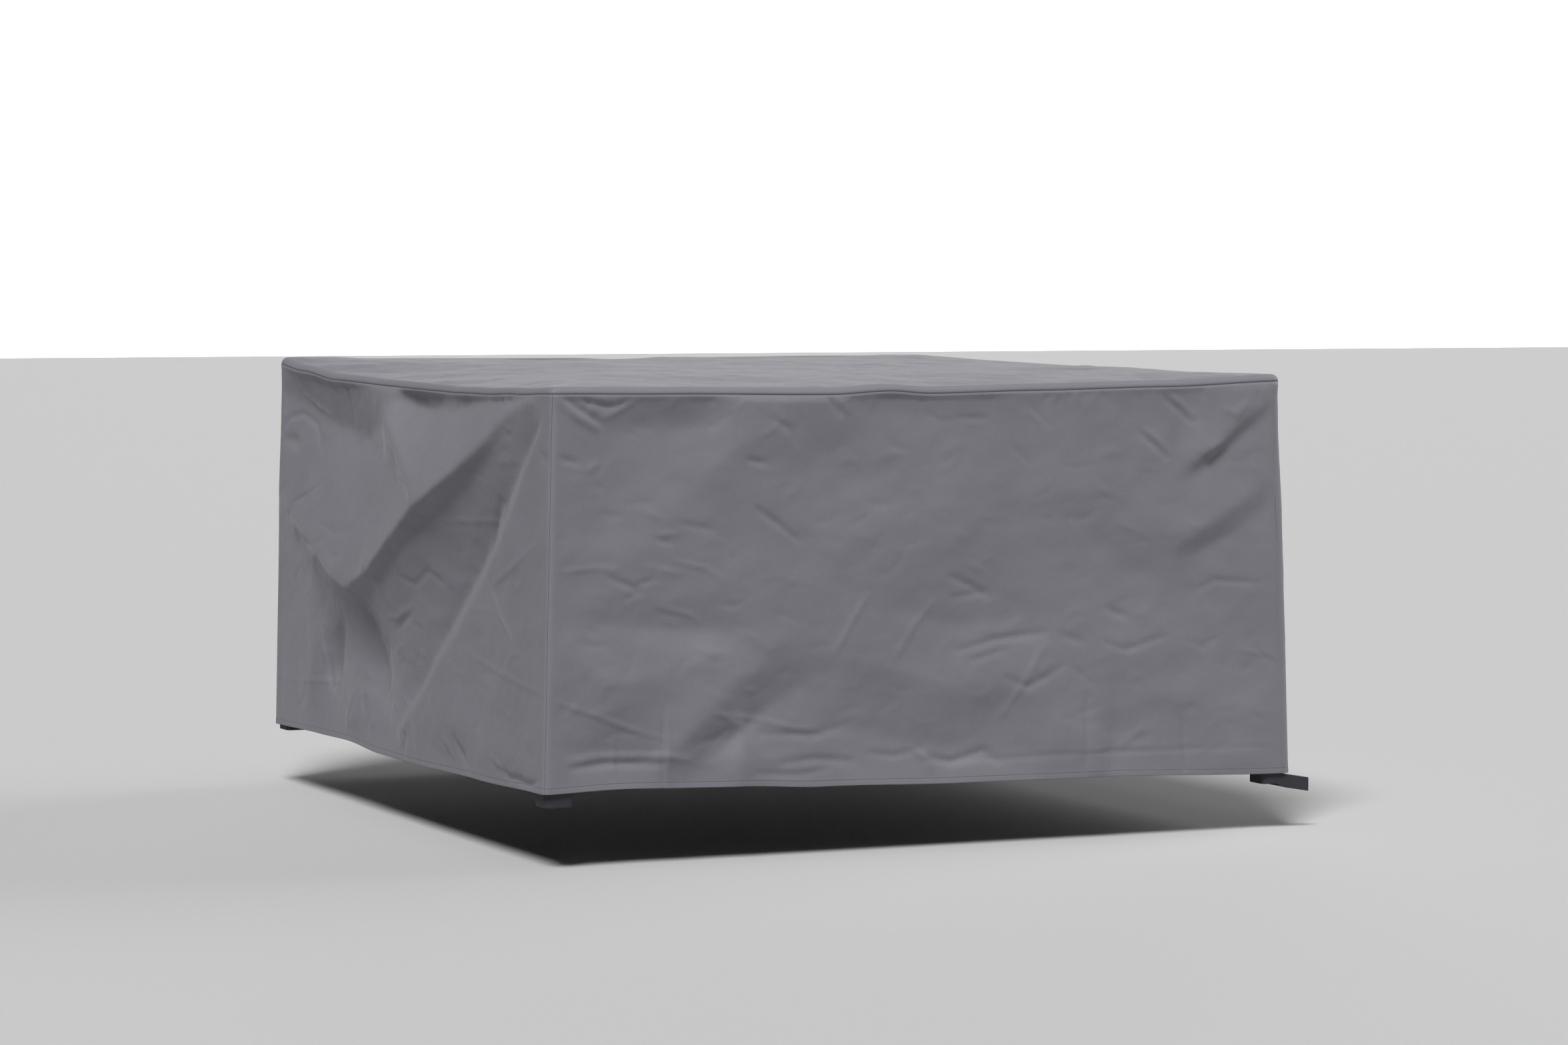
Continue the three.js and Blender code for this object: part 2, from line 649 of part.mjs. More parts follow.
// An open strap: both ends leave the loop at the corner and lie together as a tail.
function tailedStrap(strap) {
  const [cx, cy] = strap.leg;
  const front = cy - loopHalf;
  const rear = front + webbingThickness + tailStep;
  const right = cx + loopHalf;
  const bend = 5; // radius where the second layer turns out of the loop
  const path = new THREE.Path();
  path.moveTo(right + strap.tail, front);
  path.lineTo(right + strap.tail / 2, front);
  path.lineTo(right, front);
  path.lineTo(cx - loopHalf + loopRadius, front);
  const inner = loopHalf - loopRadius;
  path.absarc(cx - inner, cy - inner, loopRadius, 1.5 * Math.PI, Math.PI, true);
  path.absarc(cx - inner, cy + inner, loopRadius, Math.PI, Math.PI / 2, true);
  path.absarc(cx + inner, cy + inner, loopRadius, Math.PI / 2, 0, true);
  path.absarc(right + bend, rear + bend, bend, Math.PI, 1.5 * Math.PI, false);
  path.lineTo(right + strap.tail / 2, rear);
  path.lineTo(right + strap.tail + tailOverhang, rear);
  const raw = path.getPoints(arcSteps);
  const points = raw.filter((point, i) => i === 0 || point.distanceTo(raw[i - 1]) > 0.01);
  const stops = points.map((point, i) => {
    const ahead = points[Math.min(i + 1, points.length - 1)];
    const behind = points[Math.max(i - 1, 0)];
    const direction = ahead.clone().sub(behind).normalize();
    const corner = cornerDrop * THREE.MathUtils.smoothstep(point.x, cx, right);
    const drop = corner + tailDrop * Math.max(0, (point.x - right) / strap.tail);
    return {
      lower: point,
      upper: point,
      out: new THREE.Vector2(-direction.y, direction.x),
      top: strap.low + strap.width - drop,
      low: strap.low - drop,
    };
  });
  return bandGeometry(stops.reverse(), false);
}

// ---- The cover ----

function named(name, geometry, colour) {
  const material = new THREE.MeshStandardMaterial({ color: colour, roughness: 0.7, metalness: 0 });
  const mesh = new THREE.Mesh(geometry, material);
  mesh.name = name;
  return mesh;
}

const cover = new THREE.Group();
cover.name = 'patio_furniture_cover';
cover.add(named('top_panel', topPanel(), topColour));
sides.forEach((side, k) => cover.add(named(side.name, skirtPanel(k), clothColour)));
straps.forEach((strap) => {
  const geometry = strap.tail ? tailedStrap(strap) : closedStrap(strap);
  cover.add(named(`strap_${cornerNames[strap.corner]}`, geometry, strapColour));
});

export default cover;
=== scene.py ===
"""Fitted patio furniture cover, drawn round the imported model.

The cover hangs as it does over its furniture, which is left out: a top sheet, four skirt panels with
turned-up hems, and four webbing straps. Lengths below are in millimetres and are turned into metres
where a mesh is made. The frame's origin is the underside of the top panel at its middle.
"""

import math

import bpy
import numpy as np
from mathutils import Matrix, Vector


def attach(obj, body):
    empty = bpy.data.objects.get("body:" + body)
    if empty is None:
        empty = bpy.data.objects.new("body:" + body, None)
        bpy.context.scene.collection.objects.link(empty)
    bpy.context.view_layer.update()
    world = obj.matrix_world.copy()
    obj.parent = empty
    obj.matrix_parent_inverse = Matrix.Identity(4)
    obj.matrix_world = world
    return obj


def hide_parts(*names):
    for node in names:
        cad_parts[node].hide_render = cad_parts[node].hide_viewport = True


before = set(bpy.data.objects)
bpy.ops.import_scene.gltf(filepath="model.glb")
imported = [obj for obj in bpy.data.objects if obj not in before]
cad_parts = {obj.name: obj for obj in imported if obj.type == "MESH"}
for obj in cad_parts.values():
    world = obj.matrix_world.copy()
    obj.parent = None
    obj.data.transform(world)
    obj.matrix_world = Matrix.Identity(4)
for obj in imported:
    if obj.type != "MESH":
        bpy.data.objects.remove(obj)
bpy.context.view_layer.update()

MM = 0.001

# ---- Driving dimensions, as in the CAD part ----

EDGE_RADIUS = 12.0
TOP_CORNER_RADII = (16.0, 34.0, 34.0, 34.0)
HEM_CORNER_RADII = (14.0, 26.0, 26.0, 26.0)
TOP_CORNERS = [(-718, -697), (724, -694), (728, 700), (-715, 698)]
HEM_CORNERS = [(-737, -712), (741, -712), (748, 712), (-720, 712)]
FLOOR_HEIGHT = -825.0  # the ground that the furniture stands on

SEAM_GAP = 0.4
SHEET = 1.1  # thickness of the drawn cloth
HEM_DEPTH = 11.0  # height of the turned-up hem
HEM_SHEET = 2.0  # thickness of the cloth where it is turned up

# Profiles along each side: height of the top edge and of the hem, and how far the top edge is
# pulled inward, each at a distance along the side.
SIDES = {
    "front_panel": {
        "axis": 0,
        "edge": [
            (-718, -5), (-515, -7), (-188, -11), (-79, -6), (2, -11), (206, -8), (477, -4),
            (724, 4),
        ],
        "hem": [
            (-737, -693), (-600, -690), (-377, -695), (-214, -703), (66, -709), (310, -711),
            (741, -722),
        ],
        "pull": [(-716, 0), (714, 0)],
    },
    "right_end_panel": {
        "axis": 1,
        "edge": [(-694, 4), (-350, 0), (60, -1), (420, 0), (700, 2)],
        "hem": [(-712, -722), (-80, -716), (90, -715), (712, -714)],
        "pull": [(-692, 0), (-300, 8), (300, 8), (698, 0)],
    },
    "back_panel": {
        "axis": 0,
        "edge": [(728, 2), (470, 4), (90, 2), (0, 0), (-90, 3), (-480, 5), (-715, 9)],
        "hem": [(748, -714), (90, -709), (-90, -708), (-720, -709)],
        "pull": [(724, 0), (-700, 0)],
    },
    "left_end_panel": {
        "axis": 1,
        "edge": [
            (698, 9), (560, -2), (400, -14), (160, -19), (-130, -20), (-330, -17), (-520, -11),
            (-697, -5),
        ],
        "hem": [
            (712, -709), (430, -703), (260, -700), (110, -707), (-60, -706), (-400, -700),
            (-712, -693),
        ],
        "pull": [
            (698, 0), (590, 2), (420, 10), (160, 34), (-100, 34), (-325, 20), (-543, 7), (-670, 0),
        ],
    },
}

# Fold lines: points are (distance along the side, height, depth inward).
FOLDS = {
    "front_panel": [
        # hollows and swells under the top edge
        [(-650, -90, 3), (-560, -72, 9), (-456, -78, 10), (-400, -52, 6)],
        [(-300, -62, -2), (-370, -106, -5), (-480, -200, -4), (-560, -250, -2)],
        [(-250, -60, 1), (-120, -50, 6), (20, -60, 5), (180, -46, 2), (400, -60, 3)],
        [(-180, -170, 5), (0, -150, 2), (160, -190, 3)],
        # the fan of folds from the right top corner
        [(690, -44, 0), (640, -70, -4), (600, -108, -6), (562, -136, -7), (532, -150, -4)],
        [(690, -64, 4), (640, -98, 6), (585, -136, 7), (530, -176, 6), (500, -200, 3)],
        [(690, -186, -2), (620, -228, -6), (560, -264, -6), (500, -290, -3)],
        [(690, -232, 3), (620, -278, 6), (555, -308, 6), (480, -335, 3)],
        [(520, -70, 5), (500, -110, 6), (505, -150, 5)],
        # the middle
        [(-620, -360, -3), (-500, -370, -4), (-400, -350, -3)],
        [(-640, -410, 3), (-500, -420, 4), (-380, -430, 3)],
        [(-200, -250, -3), (-60, -300, -3), (60, -280, -2)],
        [(-60, -400, 4), (60, -430, 6), (220, -420, 5)],
        [(330, -300, 3), (460, -350, 5), (600, -420, 3)],
        # the swell and trough that run down to the left
        [(-330, -470, -4), (-290, -440, -7), (-245, -428, -5)],
        [(-340, -492, -5), (-400, -528, -8), (-460, -588, -8), (-520, -640, -4)],
        [(-260, -520, 8), (-330, -572, 12), (-400, -622, 10), (-460, -672, 5)],
        [(-160, -480, -5), (-20, -520, -5), (120, -560, -4)],
        [(-200, -590, 9), (-80, -625, 12), (60, -650, 9)],
        # creased feet of the folds near the hem
        [(-640, -500, -6), (-560, -510, -8), (-440, -470, -6)],
        [(-690, -618, 6), (-600, -628, 11), (-530, -632, 10)],
        [(-505, -545, -3), (-503, -600, -3), (-504, -645, -2)],
        [(-362, -585, -1), (-366, -640, -4), (-374, -690, -4)],
        [(180, -600, 3), (189, -650, 4), (188, -690, 2)],
        [(334, -540, 0), (334, -620, -5), (332, -705, -6)],
        [(372, -560, 3), (366, -640, 5), (366, -690, 3)],
        [(450, -560, -3), (600, -600, -3)],
        [(500, -600, 1), (520, -650, 4), (516, -700, 2)],
    ],
    "right_end_panel": [
        [(-660, -40, 4), (-400, -60, 22), (-60, -70, 30), (260, -66, 26), (600, -50, 10)],
        [(-660, -30, 0), (-500, -60, 0), (-300, -150, 0), (-95, -232, 0)],
        [(640, -40, 0), (520, -80, 4), (330, -150, 2), (110, -235, 0)],
        [(-95, -232, 0), (0, -250, 22), (110, -235, 0)],
        [(-30, -250, 26), (10, -420, 30), (0, -600, 14)],
        [(-90, -240, 2), (-88, -480, 8), (-85, -700, 0)],
        [(105, -240, 2), (98, -480, 8), (88, -700, 0)],
        [(-480, -260, 14), (-380, -420, 16), (-300, -600, 8)],
        [(480, -240, 12), (400, -420, 15), (330, -600, 8)],
    ],
    "back_panel": [
        [(650, -50, 2), (400, -60, 6), (120, -50, 2)],
        [(60, -60, 6), (-20, -90, 7), (-80, -60, 4)],
        [(-160, -50, 2), (-420, -62, 6), (-640, -48, 2)],
        [(520, -220, 4), (380, -330, 8), (200, -380, 5)],
        [(-180, -250, 5), (-300, -360, 8), (-480, -400, 5)],
        [(60, -430, 9), (20, -540, 7), (-60, -600, 5)],
        [(560, -560, 5), (420, -620, 7), (240, -620, 5)],
        [(-240, -600, 6), (-420, -640, 6), (-560, -600, 4)],
        [(350, -520, -2), (350, -704, -4)],
        [(-340, -540, -2), (-340, -704, -4)],
    ],
    "left_end_panel": [
        # the cloth drawn over the near chair's armrest, down to its tip
        [
            (-661, -20, 0), (-553, -42, -4), (-490, -65, -9), (-448, -98, -16), (-386, -139, -28),
            (-291, -186, -40),
        ],
        [(-291, -186, -40), (-178, -231, -48)],
        # the swag that hangs from the tip to the far corner
        [(-178, -231, -48), (-77, -287, -46), (23, -342, -40), (109, -375, -34), (232, -411, -26)],
        [(630, -260, -4), (573, -295, -10), (427, -344, -20), (315, -384, -26), (232, -411, -26)],
        # the step between the two facets
        [(155, -38, 34), (136, -89, 8), (-19, -158, -20), (-178, -230, -48)],
        [(173, -91, 28), (285, -133, 46), (84, -185, 12), (-117, -225, -34)],
        # hollows under the sagging top edge
        [(670, -60, 8), (547, -85, 26), (423, -116, 40), (285, -133, 46)],
        [(104, -54, 44), (-28, -64, 46), (-176, -59, 40), (-370, -41, 26), (-565, -28, 9)],
        # where the cloth tucks in under the armrest and the swag
        [
            (-583, -47, 2), (-487, -91, -1), (-432, -128, -3), (-353, -173, -8), (-242, -227, -14),
            (-117, -278, -20),
        ],
        [(-117, -278, -20), (-27, -327, -20), (79, -381, -15), (179, -418, -8), (303, -457, 0)],
        [(567, -340, 2), (457, -408, 2), (397, -454, 8)],
        # the valley below the swag
        [(309, -458, 4), (367, -518, 30), (391, -572, 36), (361, -632, 18)],
        [(184, -466, 22), (148, -550, 36), (105, -620, 20)],
        # the taut fold from the top corner to the hem, and the valley behind it
        [
            (-712, -39, 0), (-646, -95, -4), (-609, -142, -6), (-576, -189, -6), (-525, -249, -6),
            (-482, -298, -6),
        ],
        [
            (-482, -298, -6), (-422, -348, -6), (-361, -399, -6), (-284, -464, -6),
            (-188, -538, -6), (-86, -607, -5),
        ],
        [(-86, -607, -5), (-16, -651, -4)],
        [
            (-644, -73, 5), (-569, -122, 14), (-490, -189, 22), (-427, -250, 28), (-346, -325, 31),
            (-263, -396, 31),
        ],
        [(-263, -396, 31), (-167, -481, 28), (-77, -561, 22), (3, -629, 12)],
        # small folds low down
        [(426, -444, 10), (462, -513, 2), (482, -604, -1), (514, -684, 0)],
        [(200, -604, 2), (251, -665, -4)],
    ],
}

# Creases: depth (inward positive), half width, and the points (distance along the side, height) of
# each soft trough or ridge.
CREASES = {
    "front_panel": [
        (-3.0, 7, [(-705, -26), (-672, -54), (-636, -74)]),
        (2.5, 6, [(-690, -22), (-660, -46), (-630, -62)]),
        (2.2, 5, [(-678, -15), (-654, -30), (-617, -38), (-586, -33)]),
        (-2.4, 6, [(-640, -22), (-600, -30), (-580, -22)]),
        (-1.8, 5, [(-562, -28), (-605, -52), (-623, -58)]),
        (1.6, 4, [(-642, -55), (-624, -72)]),
        (-2.4, 6, [(-346, -18), (-376, -42), (-412, -68)]),
        (2.4, 6, [(-356, -21), (-386, -50), (-420, -76)]),
        (1.6, 6, [(-311, -62), (-273, -82), (-261, -106)]),
        (3.0, 6, [(-203, -14), (-190, -37), (-175, -57)]),
        (-1.4, 5, [(-190, -14), (-176, -37), (-160, -52)]),
        (2.6, 6, [(-336, -217), (-293, -247), (-262, -272)]),
        (2.0, 5, [(-354, -133), (-321, -139)]),
        (1.8, 5, [(-526, -266), (-501, -273)]),
        (-1.2, 4, [(-485, -256), (-520, -258)]),
        (2.0, 5, [(-613, -330), (-576, -344), (-556, -358)]),
        (1.8, 5, [(-564, -345), (-551, -339), (-527, -332)]),
        (1.4, 4, [(-585, -368), (-562, -357)]),
        (-1.0, 4, [(-551, -311), (-483, -324)]),
        (-1.2, 4, [(-495, -303), (-433, -318), (-402, -340)]),
        (-1.2, 4, [(-527, -380), (-458, -398), (-446, -411)]),
        (-1.2, 5, [(-705, -318), (-640, -312), (-595, -316)]),
        (1.2, 5, [(-480, -240), (-420, -252)]),
        (-1.2, 4, [(-422, -567), (-346, -579), (-270, -598), (-206, -607)]),
        (-1.0, 4, [(-372, -590), (-409, -569)]),
        (-2.0, 5, [(-689, -640), (-634, -633), (-510, -636), (-470, -644)]),
        (2.4, 6, [(-680, -652), (-620, -646), (-520, -650)]),
        (-1.4, 4, [(-728, -531), (-640, -562), (-575, -588), (-513, -607)]),
        (2.0, 6, [(-700, -126), (-672, -134)]),
        (-1.6, 5, [(-650, -145), (-632, -136)]),
        (-2.8, 9, [(545, -88), (562, -132), (594, -118)]),
        (-1.8, 7, [(601, -58), (622, -66), (643, -47)]),
        (2.4, 6, [(477, -36), (504, -56), (528, -78)]),
        (-1.4, 5, [(486, -30), (513, -50), (534, -70)]),
        (2.4, 6, [(426, -99), (455, -121), (478, -143)]),
        (-1.2, 5, [(434, -92), (463, -113), (484, -132)]),
        (1.2, 5, [(204, -48), (240, -84)]),
        (1.2, 4, [(161, -112), (202, -152)]),
        (1.4, 5, [(60, -66), (115, -68)]),
        (2.0, 7, [(37, -344), (83, -363), (116, -381)]),
        (1.4, 5, [(43, -383), (109, -374)]),
        (2.2, 7, [(52, -476), (136, -458), (230, -450)]),
        (1.6, 6, [(76, -494), (149, -477)]),
        (2.0, 7, [(355, -411), (397, -427)]),
        (1.8, 7, [(266, -456), (302, -468)]),
        (2.0, 7, [(149, -528), (196, -545), (263, -511)]),
        (1.2, 4, [(283, -511), (321, -544)]),
        (1.6, 5, [(350, -471), (393, -486), (475, -464)]),
        (1.4, 5, [(545, -382), (580, -366), (671, -374)]),
        (-1.2, 4, [(531, -356), (560, -421)]),
        (-1.2, 4, [(284, -254), (300, -280), (316, -320)]),
        (-1.6, 5, [(-188, -468), (-140, -392), (-125, -373)]),
        (-1.6, 5, [(-71, -483), (-36, -430), (6, -388)]),
        (-1.6, 5, [(230, -471), (189, -532), (144, -592)]),
        (1.2, 4, [(-10, -668), (135, -671), (269, -667), (489, -669), (690, -672)]),
        (-2.6, 6, [(-32, -646), (-8, -663), (-1, -686)]),
        (3.0, 8, [(2, -662), (42, -672), (108, -656), (135, -676)]),
        (2.0, 7, [(-330, -606), (-240, -612), (-180, -604)]),
        (2.2, 7, [(-290, -660), (-230, -654), (-150, -662)]),
        (1.8, 6, [(-120, -650), (-70, -656), (-20, -646)]),
        (1.6, 6, [(-340, -674), (-260, -680), (-200, -672)]),
        (-1.4, 4, [(-605, -600), (-604, -660)]),
        (1.4, 4, [(-516, -560), (-516, -690)]),
        (-1.4, 4, [(-509, -560), (-509, -690)]),
        (1.4, 4, [(311, -560), (307, -700)]),
        (1.4, 4, [(510, -610), (516, -706)]),
        (-2.0, 5, [(682, -499), (706, -514), (730, -540)]),
        (1.8, 5, [(684, -506), (706, -521), (728, -546)]),
        (-1.0, 4, [(637, -494), (671, -503)]),
    ],
    "left_end_panel": [
        (3.0, 7, [(-437, -210), (-400, -262), (-378, -330)]),
        (-1.6, 6, [(-460, -215), (-424, -262)]),
        (-1.8, 5, [(-439, -352), (-500, -404), (-556, -447)]),
        (-1.4, 5, [(-468, -352), (-560, -318), (-652, -273)]),
        (-1.3, 4, [(-330, -476), (-464, -499), (-651, -520), (-715, -527)]),
        (-0.9, 4, [(-66, -263), (-473, -245)]),
        (-0.9, 4, [(-255, -405), (-454, -401)]),
        (-1.2, 4, [(655, -620), (500, -607), (325, -593)]),
        (2.2, 4, [(602, -293), (579, -266), (494, -244), (449, -221)]),
        (2.4, 6, [(684, -140), (650, -106), (593, -98), (527, -116), (498, -146)]),
        (3.4, 12, [(660, -150), (620, -152), (590, -160)]),
        (-1.6, 5, [(585, -58), (520, -82), (460, -96)]),
        (1.8, 5, [(355, -30), (352, -70), (356, -120)]),
        (-3.0, 6, [(444, -500), (440, -530), (430, -560)]),
        (2.6, 7, [(420, -556), (414, -590), (400, -610)]),
        (-1.4, 4, [(392, -560), (396, -640), (400, -695)]),
        (-2.6, 9, [(240, -596), (262, -640), (276, -672)]),
        (2.2, 7, [(205, -600), (190, -640)]),
        (-2.0, 5, [(100, -470), (120, -560), (132, -600)]),
        (-2.2, 6, [(92, -590), (70, -606), (30, -620)]),
        (2.0, 5, [(120, -590), (60, -640), (30, -660)]),
        (-1.6, 5, [(155, -640), (160, -690)]),
        (2.8, 8, [(-5, -640), (-40, -662), (-30, -690)]),
        (-2.2, 7, [(-60, -610), (-100, -650), (-110, -690)]),
        (2.6, 9, [(-300, -640), (-340, -668), (-360, -690)]),
        (-1.8, 6, [(-250, -640), (-290, -672)]),
        (2.6, 7, [(-520, -668), (-560, -680), (-620, -676)]),
        (-2.0, 6, [(-480, -650), (-530, -668)]),
        (2.4, 6, [(-600, -684), (-660, -680), (-700, -672)]),
        (1.8, 6, [(-30, -370), (-80, -380), (-140, -352), (-190, -372)]),
        (-1.2, 5, [(-60, -420), (10, -448), (60, -450)]),
        (1.6, 6, [(-40, -440), (30, -470)]),
        (2.4, 8, [(-668, -120), (-690, -132)]),
        (-1.4, 4, [(-700, -60), (-688, -96), (-676, -124)]),
        (1.4, 4, [(-706, -60), (-696, -96), (-686, -124)]),
        (1.5, 6, [(520, -330), (440, -344), (380, -330)]),
        (1.4, 6, [(420, -300), (330, -312), (240, -300)]),
        (1.6, 6, [(330, -360), (270, -350)]),
    ],
    "right_end_panel": [
        (-2.0, 5, [(-706, -512), (-660, -540), (-600, -556)]),
        (-1.6, 6, [(-640, -120), (-560, -180), (-460, -220)]),
        (1.8, 6, [(300, -300), (220, -360), (160, -380)]),
        (-1.4, 5, [(-200, -440), (-120, -520), (-100, -600)]),
        (1.6, 6, [(-420, -620), (-300, -640), (-180, -632)]),
        (-1.6, 6, [(380, -600), (480, -640), (560, -636)]),
    ],
    "back_panel": [
        (-2.2, 6, [(640, -30), (600, -60), (560, -74)]),
        (2.0, 6, [(300, -24), (270, -50), (230, -66)]),
        (-1.6, 6, [(-420, -24), (-460, -56)]),
        (1.8, 6, [(480, -300), (420, -330), (360, -326)]),
        (-1.4, 5, [(-260, -440), (-340, -500), (-360, -560)]),
        (1.6, 6, [(120, -620), (20, -640), (-80, -630)]),
        (-1.2, 4, [(690, -668), (0, -664), (-660, -666)]),
    ],
}

CLOTH_COLOUR = (0.205, 0.2, 0.226)
WEBBING_COLOUR = (0.03, 0.029, 0.036)

# Chance unevenness: wavelength and height of each layer, and the number of short creases and of
# puckers along the top seam on each panel.
RIPPLES = [(230.0, 1.7), (110.0, 1.1), (52.0, 0.5), (26.0, 0.2)]
CHANCE_CREASES = 190
SEAM_PUCKERS = 70
CREASE_GAIN = 1.4  # how much deeper the placed creases are than their listed depth
CREASE_MARGIN = 30  # how far chance creases keep from the sides, top and foot of a panel
CREASE_RISE = 0.8  # below 1, they gather towards the foot
CREASE_TILT = 0.45  # radians from level
CREASE_LENGTHS = (14, 60)
CREASE_BEND = 0.25
CREASE_DEPTHS = (0.35, 1.3)
CREASE_HALF_WIDTHS = (4, 7.5)
PUCKER_MARGIN = 20
PUCKER_LENGTHS = (10, 34)
PUCKER_SLANT = 0.5
PUCKER_DEPTHS = (0.5, 1.5)
PUCKER_HALF_WIDTHS = (4, 6)
PUCKER_TOP = -13  # height of its upper end
PUCKER_FOOT = -16  # height from which its length runs down
TAPER_START = 0.12  # a crease's depth follows a half sine, from this share of it
TAPER_SPAN = 0.76
TAPER_POWER = 0.7

# ---- Camera: the viewpoint's place, and the direction and roll of its view ----

CAMERA_PLACE = (-3731.0, -7917.0, 257.0)
CAMERA_TURN = math.radians(-25.53)  # round the vertical, from looking along +Y
CAMERA_DIP = math.radians(3.573)
CAMERA_ROLL = math.radians(0.292)
CAMERA_LENS = 106.63
SENSOR_WIDTH = 36.0


def make_camera():
    turn, dip = CAMERA_TURN, CAMERA_DIP
    back = Vector((math.sin(turn) * math.cos(dip), -math.cos(turn) * math.cos(dip), math.sin(dip)))
    level = Vector((math.cos(turn), math.sin(turn), 0.0))
    rise = back.cross(level)
    right = level * math.cos(CAMERA_ROLL) + rise * math.sin(CAMERA_ROLL)
    up = back.cross(right)
    data = bpy.data.cameras.new("viewpoint")
    data.lens = CAMERA_LENS
    data.sensor_width = SENSOR_WIDTH
    data.clip_end = 60.0
    camera = bpy.data.objects.new("viewpoint", data)
    bpy.context.scene.collection.objects.link(camera)
    turned = Matrix((right, up, back)).transposed().to_4x4()
    camera.matrix_world = Matrix.Translation(Vector(CAMERA_PLACE) * MM) @ turned
    bpy.context.scene.camera = camera


make_camera()

# ---- Small helpers ----


def between(a, b, t):
    return a + (b - a) * t


def smooth_step(x, low, high):
    t = np.clip((x - low) / (high - low), 0.0, 1.0)
    return t * t * (3.0 - 2.0 * t)


def profile_at(profile, along):
    """Softly joined values of a profile at an array of distances along a side."""
    pairs = sorted(profile)
    result = np.full_like(along, float(pairs[0][1]))
    for (a0, v0), (a1, v1) in zip(pairs, pairs[1:]):
        result = np.where(along > a0, between(v0, v1, smooth_step(along, a0, a1)), result)
    return result


def bezier(a, b, c, t):
    t = t[:, None]
    return (1 - t) ** 2 * a + 2 * t * (1 - t) * b + t**2 * c


def unit(v):
    return v / np.linalg.norm(v, axis=-1, keepdims=True)


# ---- Outlines and stations ----

CORNER_STEPS = 8
SEAM_SHARE = (0.5, 0.15, 0.5, 0.5)  # how far round each corner its seam runs
SIDE_ORDER = list(SIDES)


def outline_side(corners, radii, k, straight_steps):
    """Points of a rounded outline on side k, from the seam at one corner to the seam at the next."""
    here, after, beyond, before = (np.array(corners[(k + i) % 4], float) for i in range(4))
    along, arrive, leave = unit(after - here), unit(here - before), unit(beyond - after)
    near, far = radii[k], radii[(k + 1) % 4]
    start = here + along * near
    end = after - along * far
    from_seam = np.linspace(SEAM_SHARE[k], 1.0, CORNER_STEPS + 1)
    to_seam = np.linspace(0.0, SEAM_SHARE[(k + 1) % 4], CORNER_STEPS + 1)
    first = bezier(here - arrive * near, here, start, from_seam)
    last = bezier(end, after, after + leave * far, to_seam)
    share = np.linspace(0, 1, straight_steps + 1)[:, None]
    straight = between(start, end, share)
    return np.vstack([first[:-1], straight, last[1:]])


def corner_out(corner):
    """Outward direction of the top outline at a corner's seam."""
    before, here, after = (np.array(TOP_CORNERS[(corner + i) % 4], float) for i in (3, 0, 1))
    direction = unit(between(unit(here - before), unit(after - here), SEAM_SHARE[corner]))
    return np.array([direction[1], -direction[0]])


def make_stations(name, straight_steps):
    """Columns of a skirt panel: plan at the top edge and at the hem, both heights, and outward plan."""
    k = SIDE_ORDER.index(name)
    side = SIDES[name]
    top = outline_side(TOP_CORNERS, TOP_CORNER_RADII, k, straight_steps)
    hem = outline_side(HEM_CORNERS, HEM_CORNER_RADII, k, straight_steps)
    edge = profile_at(side["edge"], top[:, side["axis"]])
    foot = profile_at(side["hem"], hem[:, side["axis"]])
    direction = unit(np.gradient(top, axis=0))
    out = np.stack([direction[:, 1], -direction[:, 0]], axis=1)
    out[0] = corner_out(k)
    out[-1] = corner_out((k + 1) % 4)
    pull = profile_at(side["pull"], top[:, side["axis"]])
    return {"top": top, "hem": hem, "edge": edge, "foot": foot, "out": out, "pull": pull}


# ---- Relief: a skin relaxed between fold lines ----

RELAX_STEPS = (40.0, 20.0, 10.0, 5.0)  # sizes of the grid's cells, coarse to fine
RELAX_SWEEPS = 160
RELAX_GAIN = 1.6  # how far a point moves towards the mean of its neighbours, in shares of the gap
RIPPLE_STEP = 5.0


def hold_lines(lines, low, rows, columns, step):
    depth = np.zeros((rows + 1, columns + 1))
    held = np.zeros(depth.shape, bool)
    held[0, :] = held[-1, :] = held[:, 0] = held[:, -1] = True
    for line in lines:
        for (a0, z0, d0), (a1, z1, d1) in zip(line, line[1:]):
            count = int(math.ceil(math.hypot(a1 - a0, z1 - z0) / (step / 2))) + 1
            t = np.linspace(0, 1, count)
            c = np.rint((between(a0, a1, t) - low) / step).astype(int)
            r = np.rint(-between(z0, z1, t) / step).astype(int)
            inside = (c > 0) & (c < columns) & (r > 0) & (r <= rows)
            depth[r[inside], c[inside]] = between(d0, d1, t)[inside]
            held[r[inside], c[inside]] = True
    return depth, held


def resample(grid, shape):
    """Bilinear copy of a grid at another resolution."""
    r = np.linspace(0, grid.shape[0] - 1, shape[0])
    c = np.linspace(0, grid.shape[1] - 1, shape[1])
    return sample(grid, r[:, None], c[None, :])


def sample(grid, r, c):
    r = np.clip(r, 0, grid.shape[0] - 1.000001)
    c = np.clip(c, 0, grid.shape[1] - 1.000001)
    r0, c0 = np.floor(r).astype(int), np.floor(c).astype(int)
    fr, fc = r - r0, c - c0
    upper = between(grid[r0, c0], grid[r0, c0 + 1], fc)
    lower = between(grid[r0 + 1, c0], grid[r0 + 1, c0 + 1], fc)
    return between(upper, lower, fr)


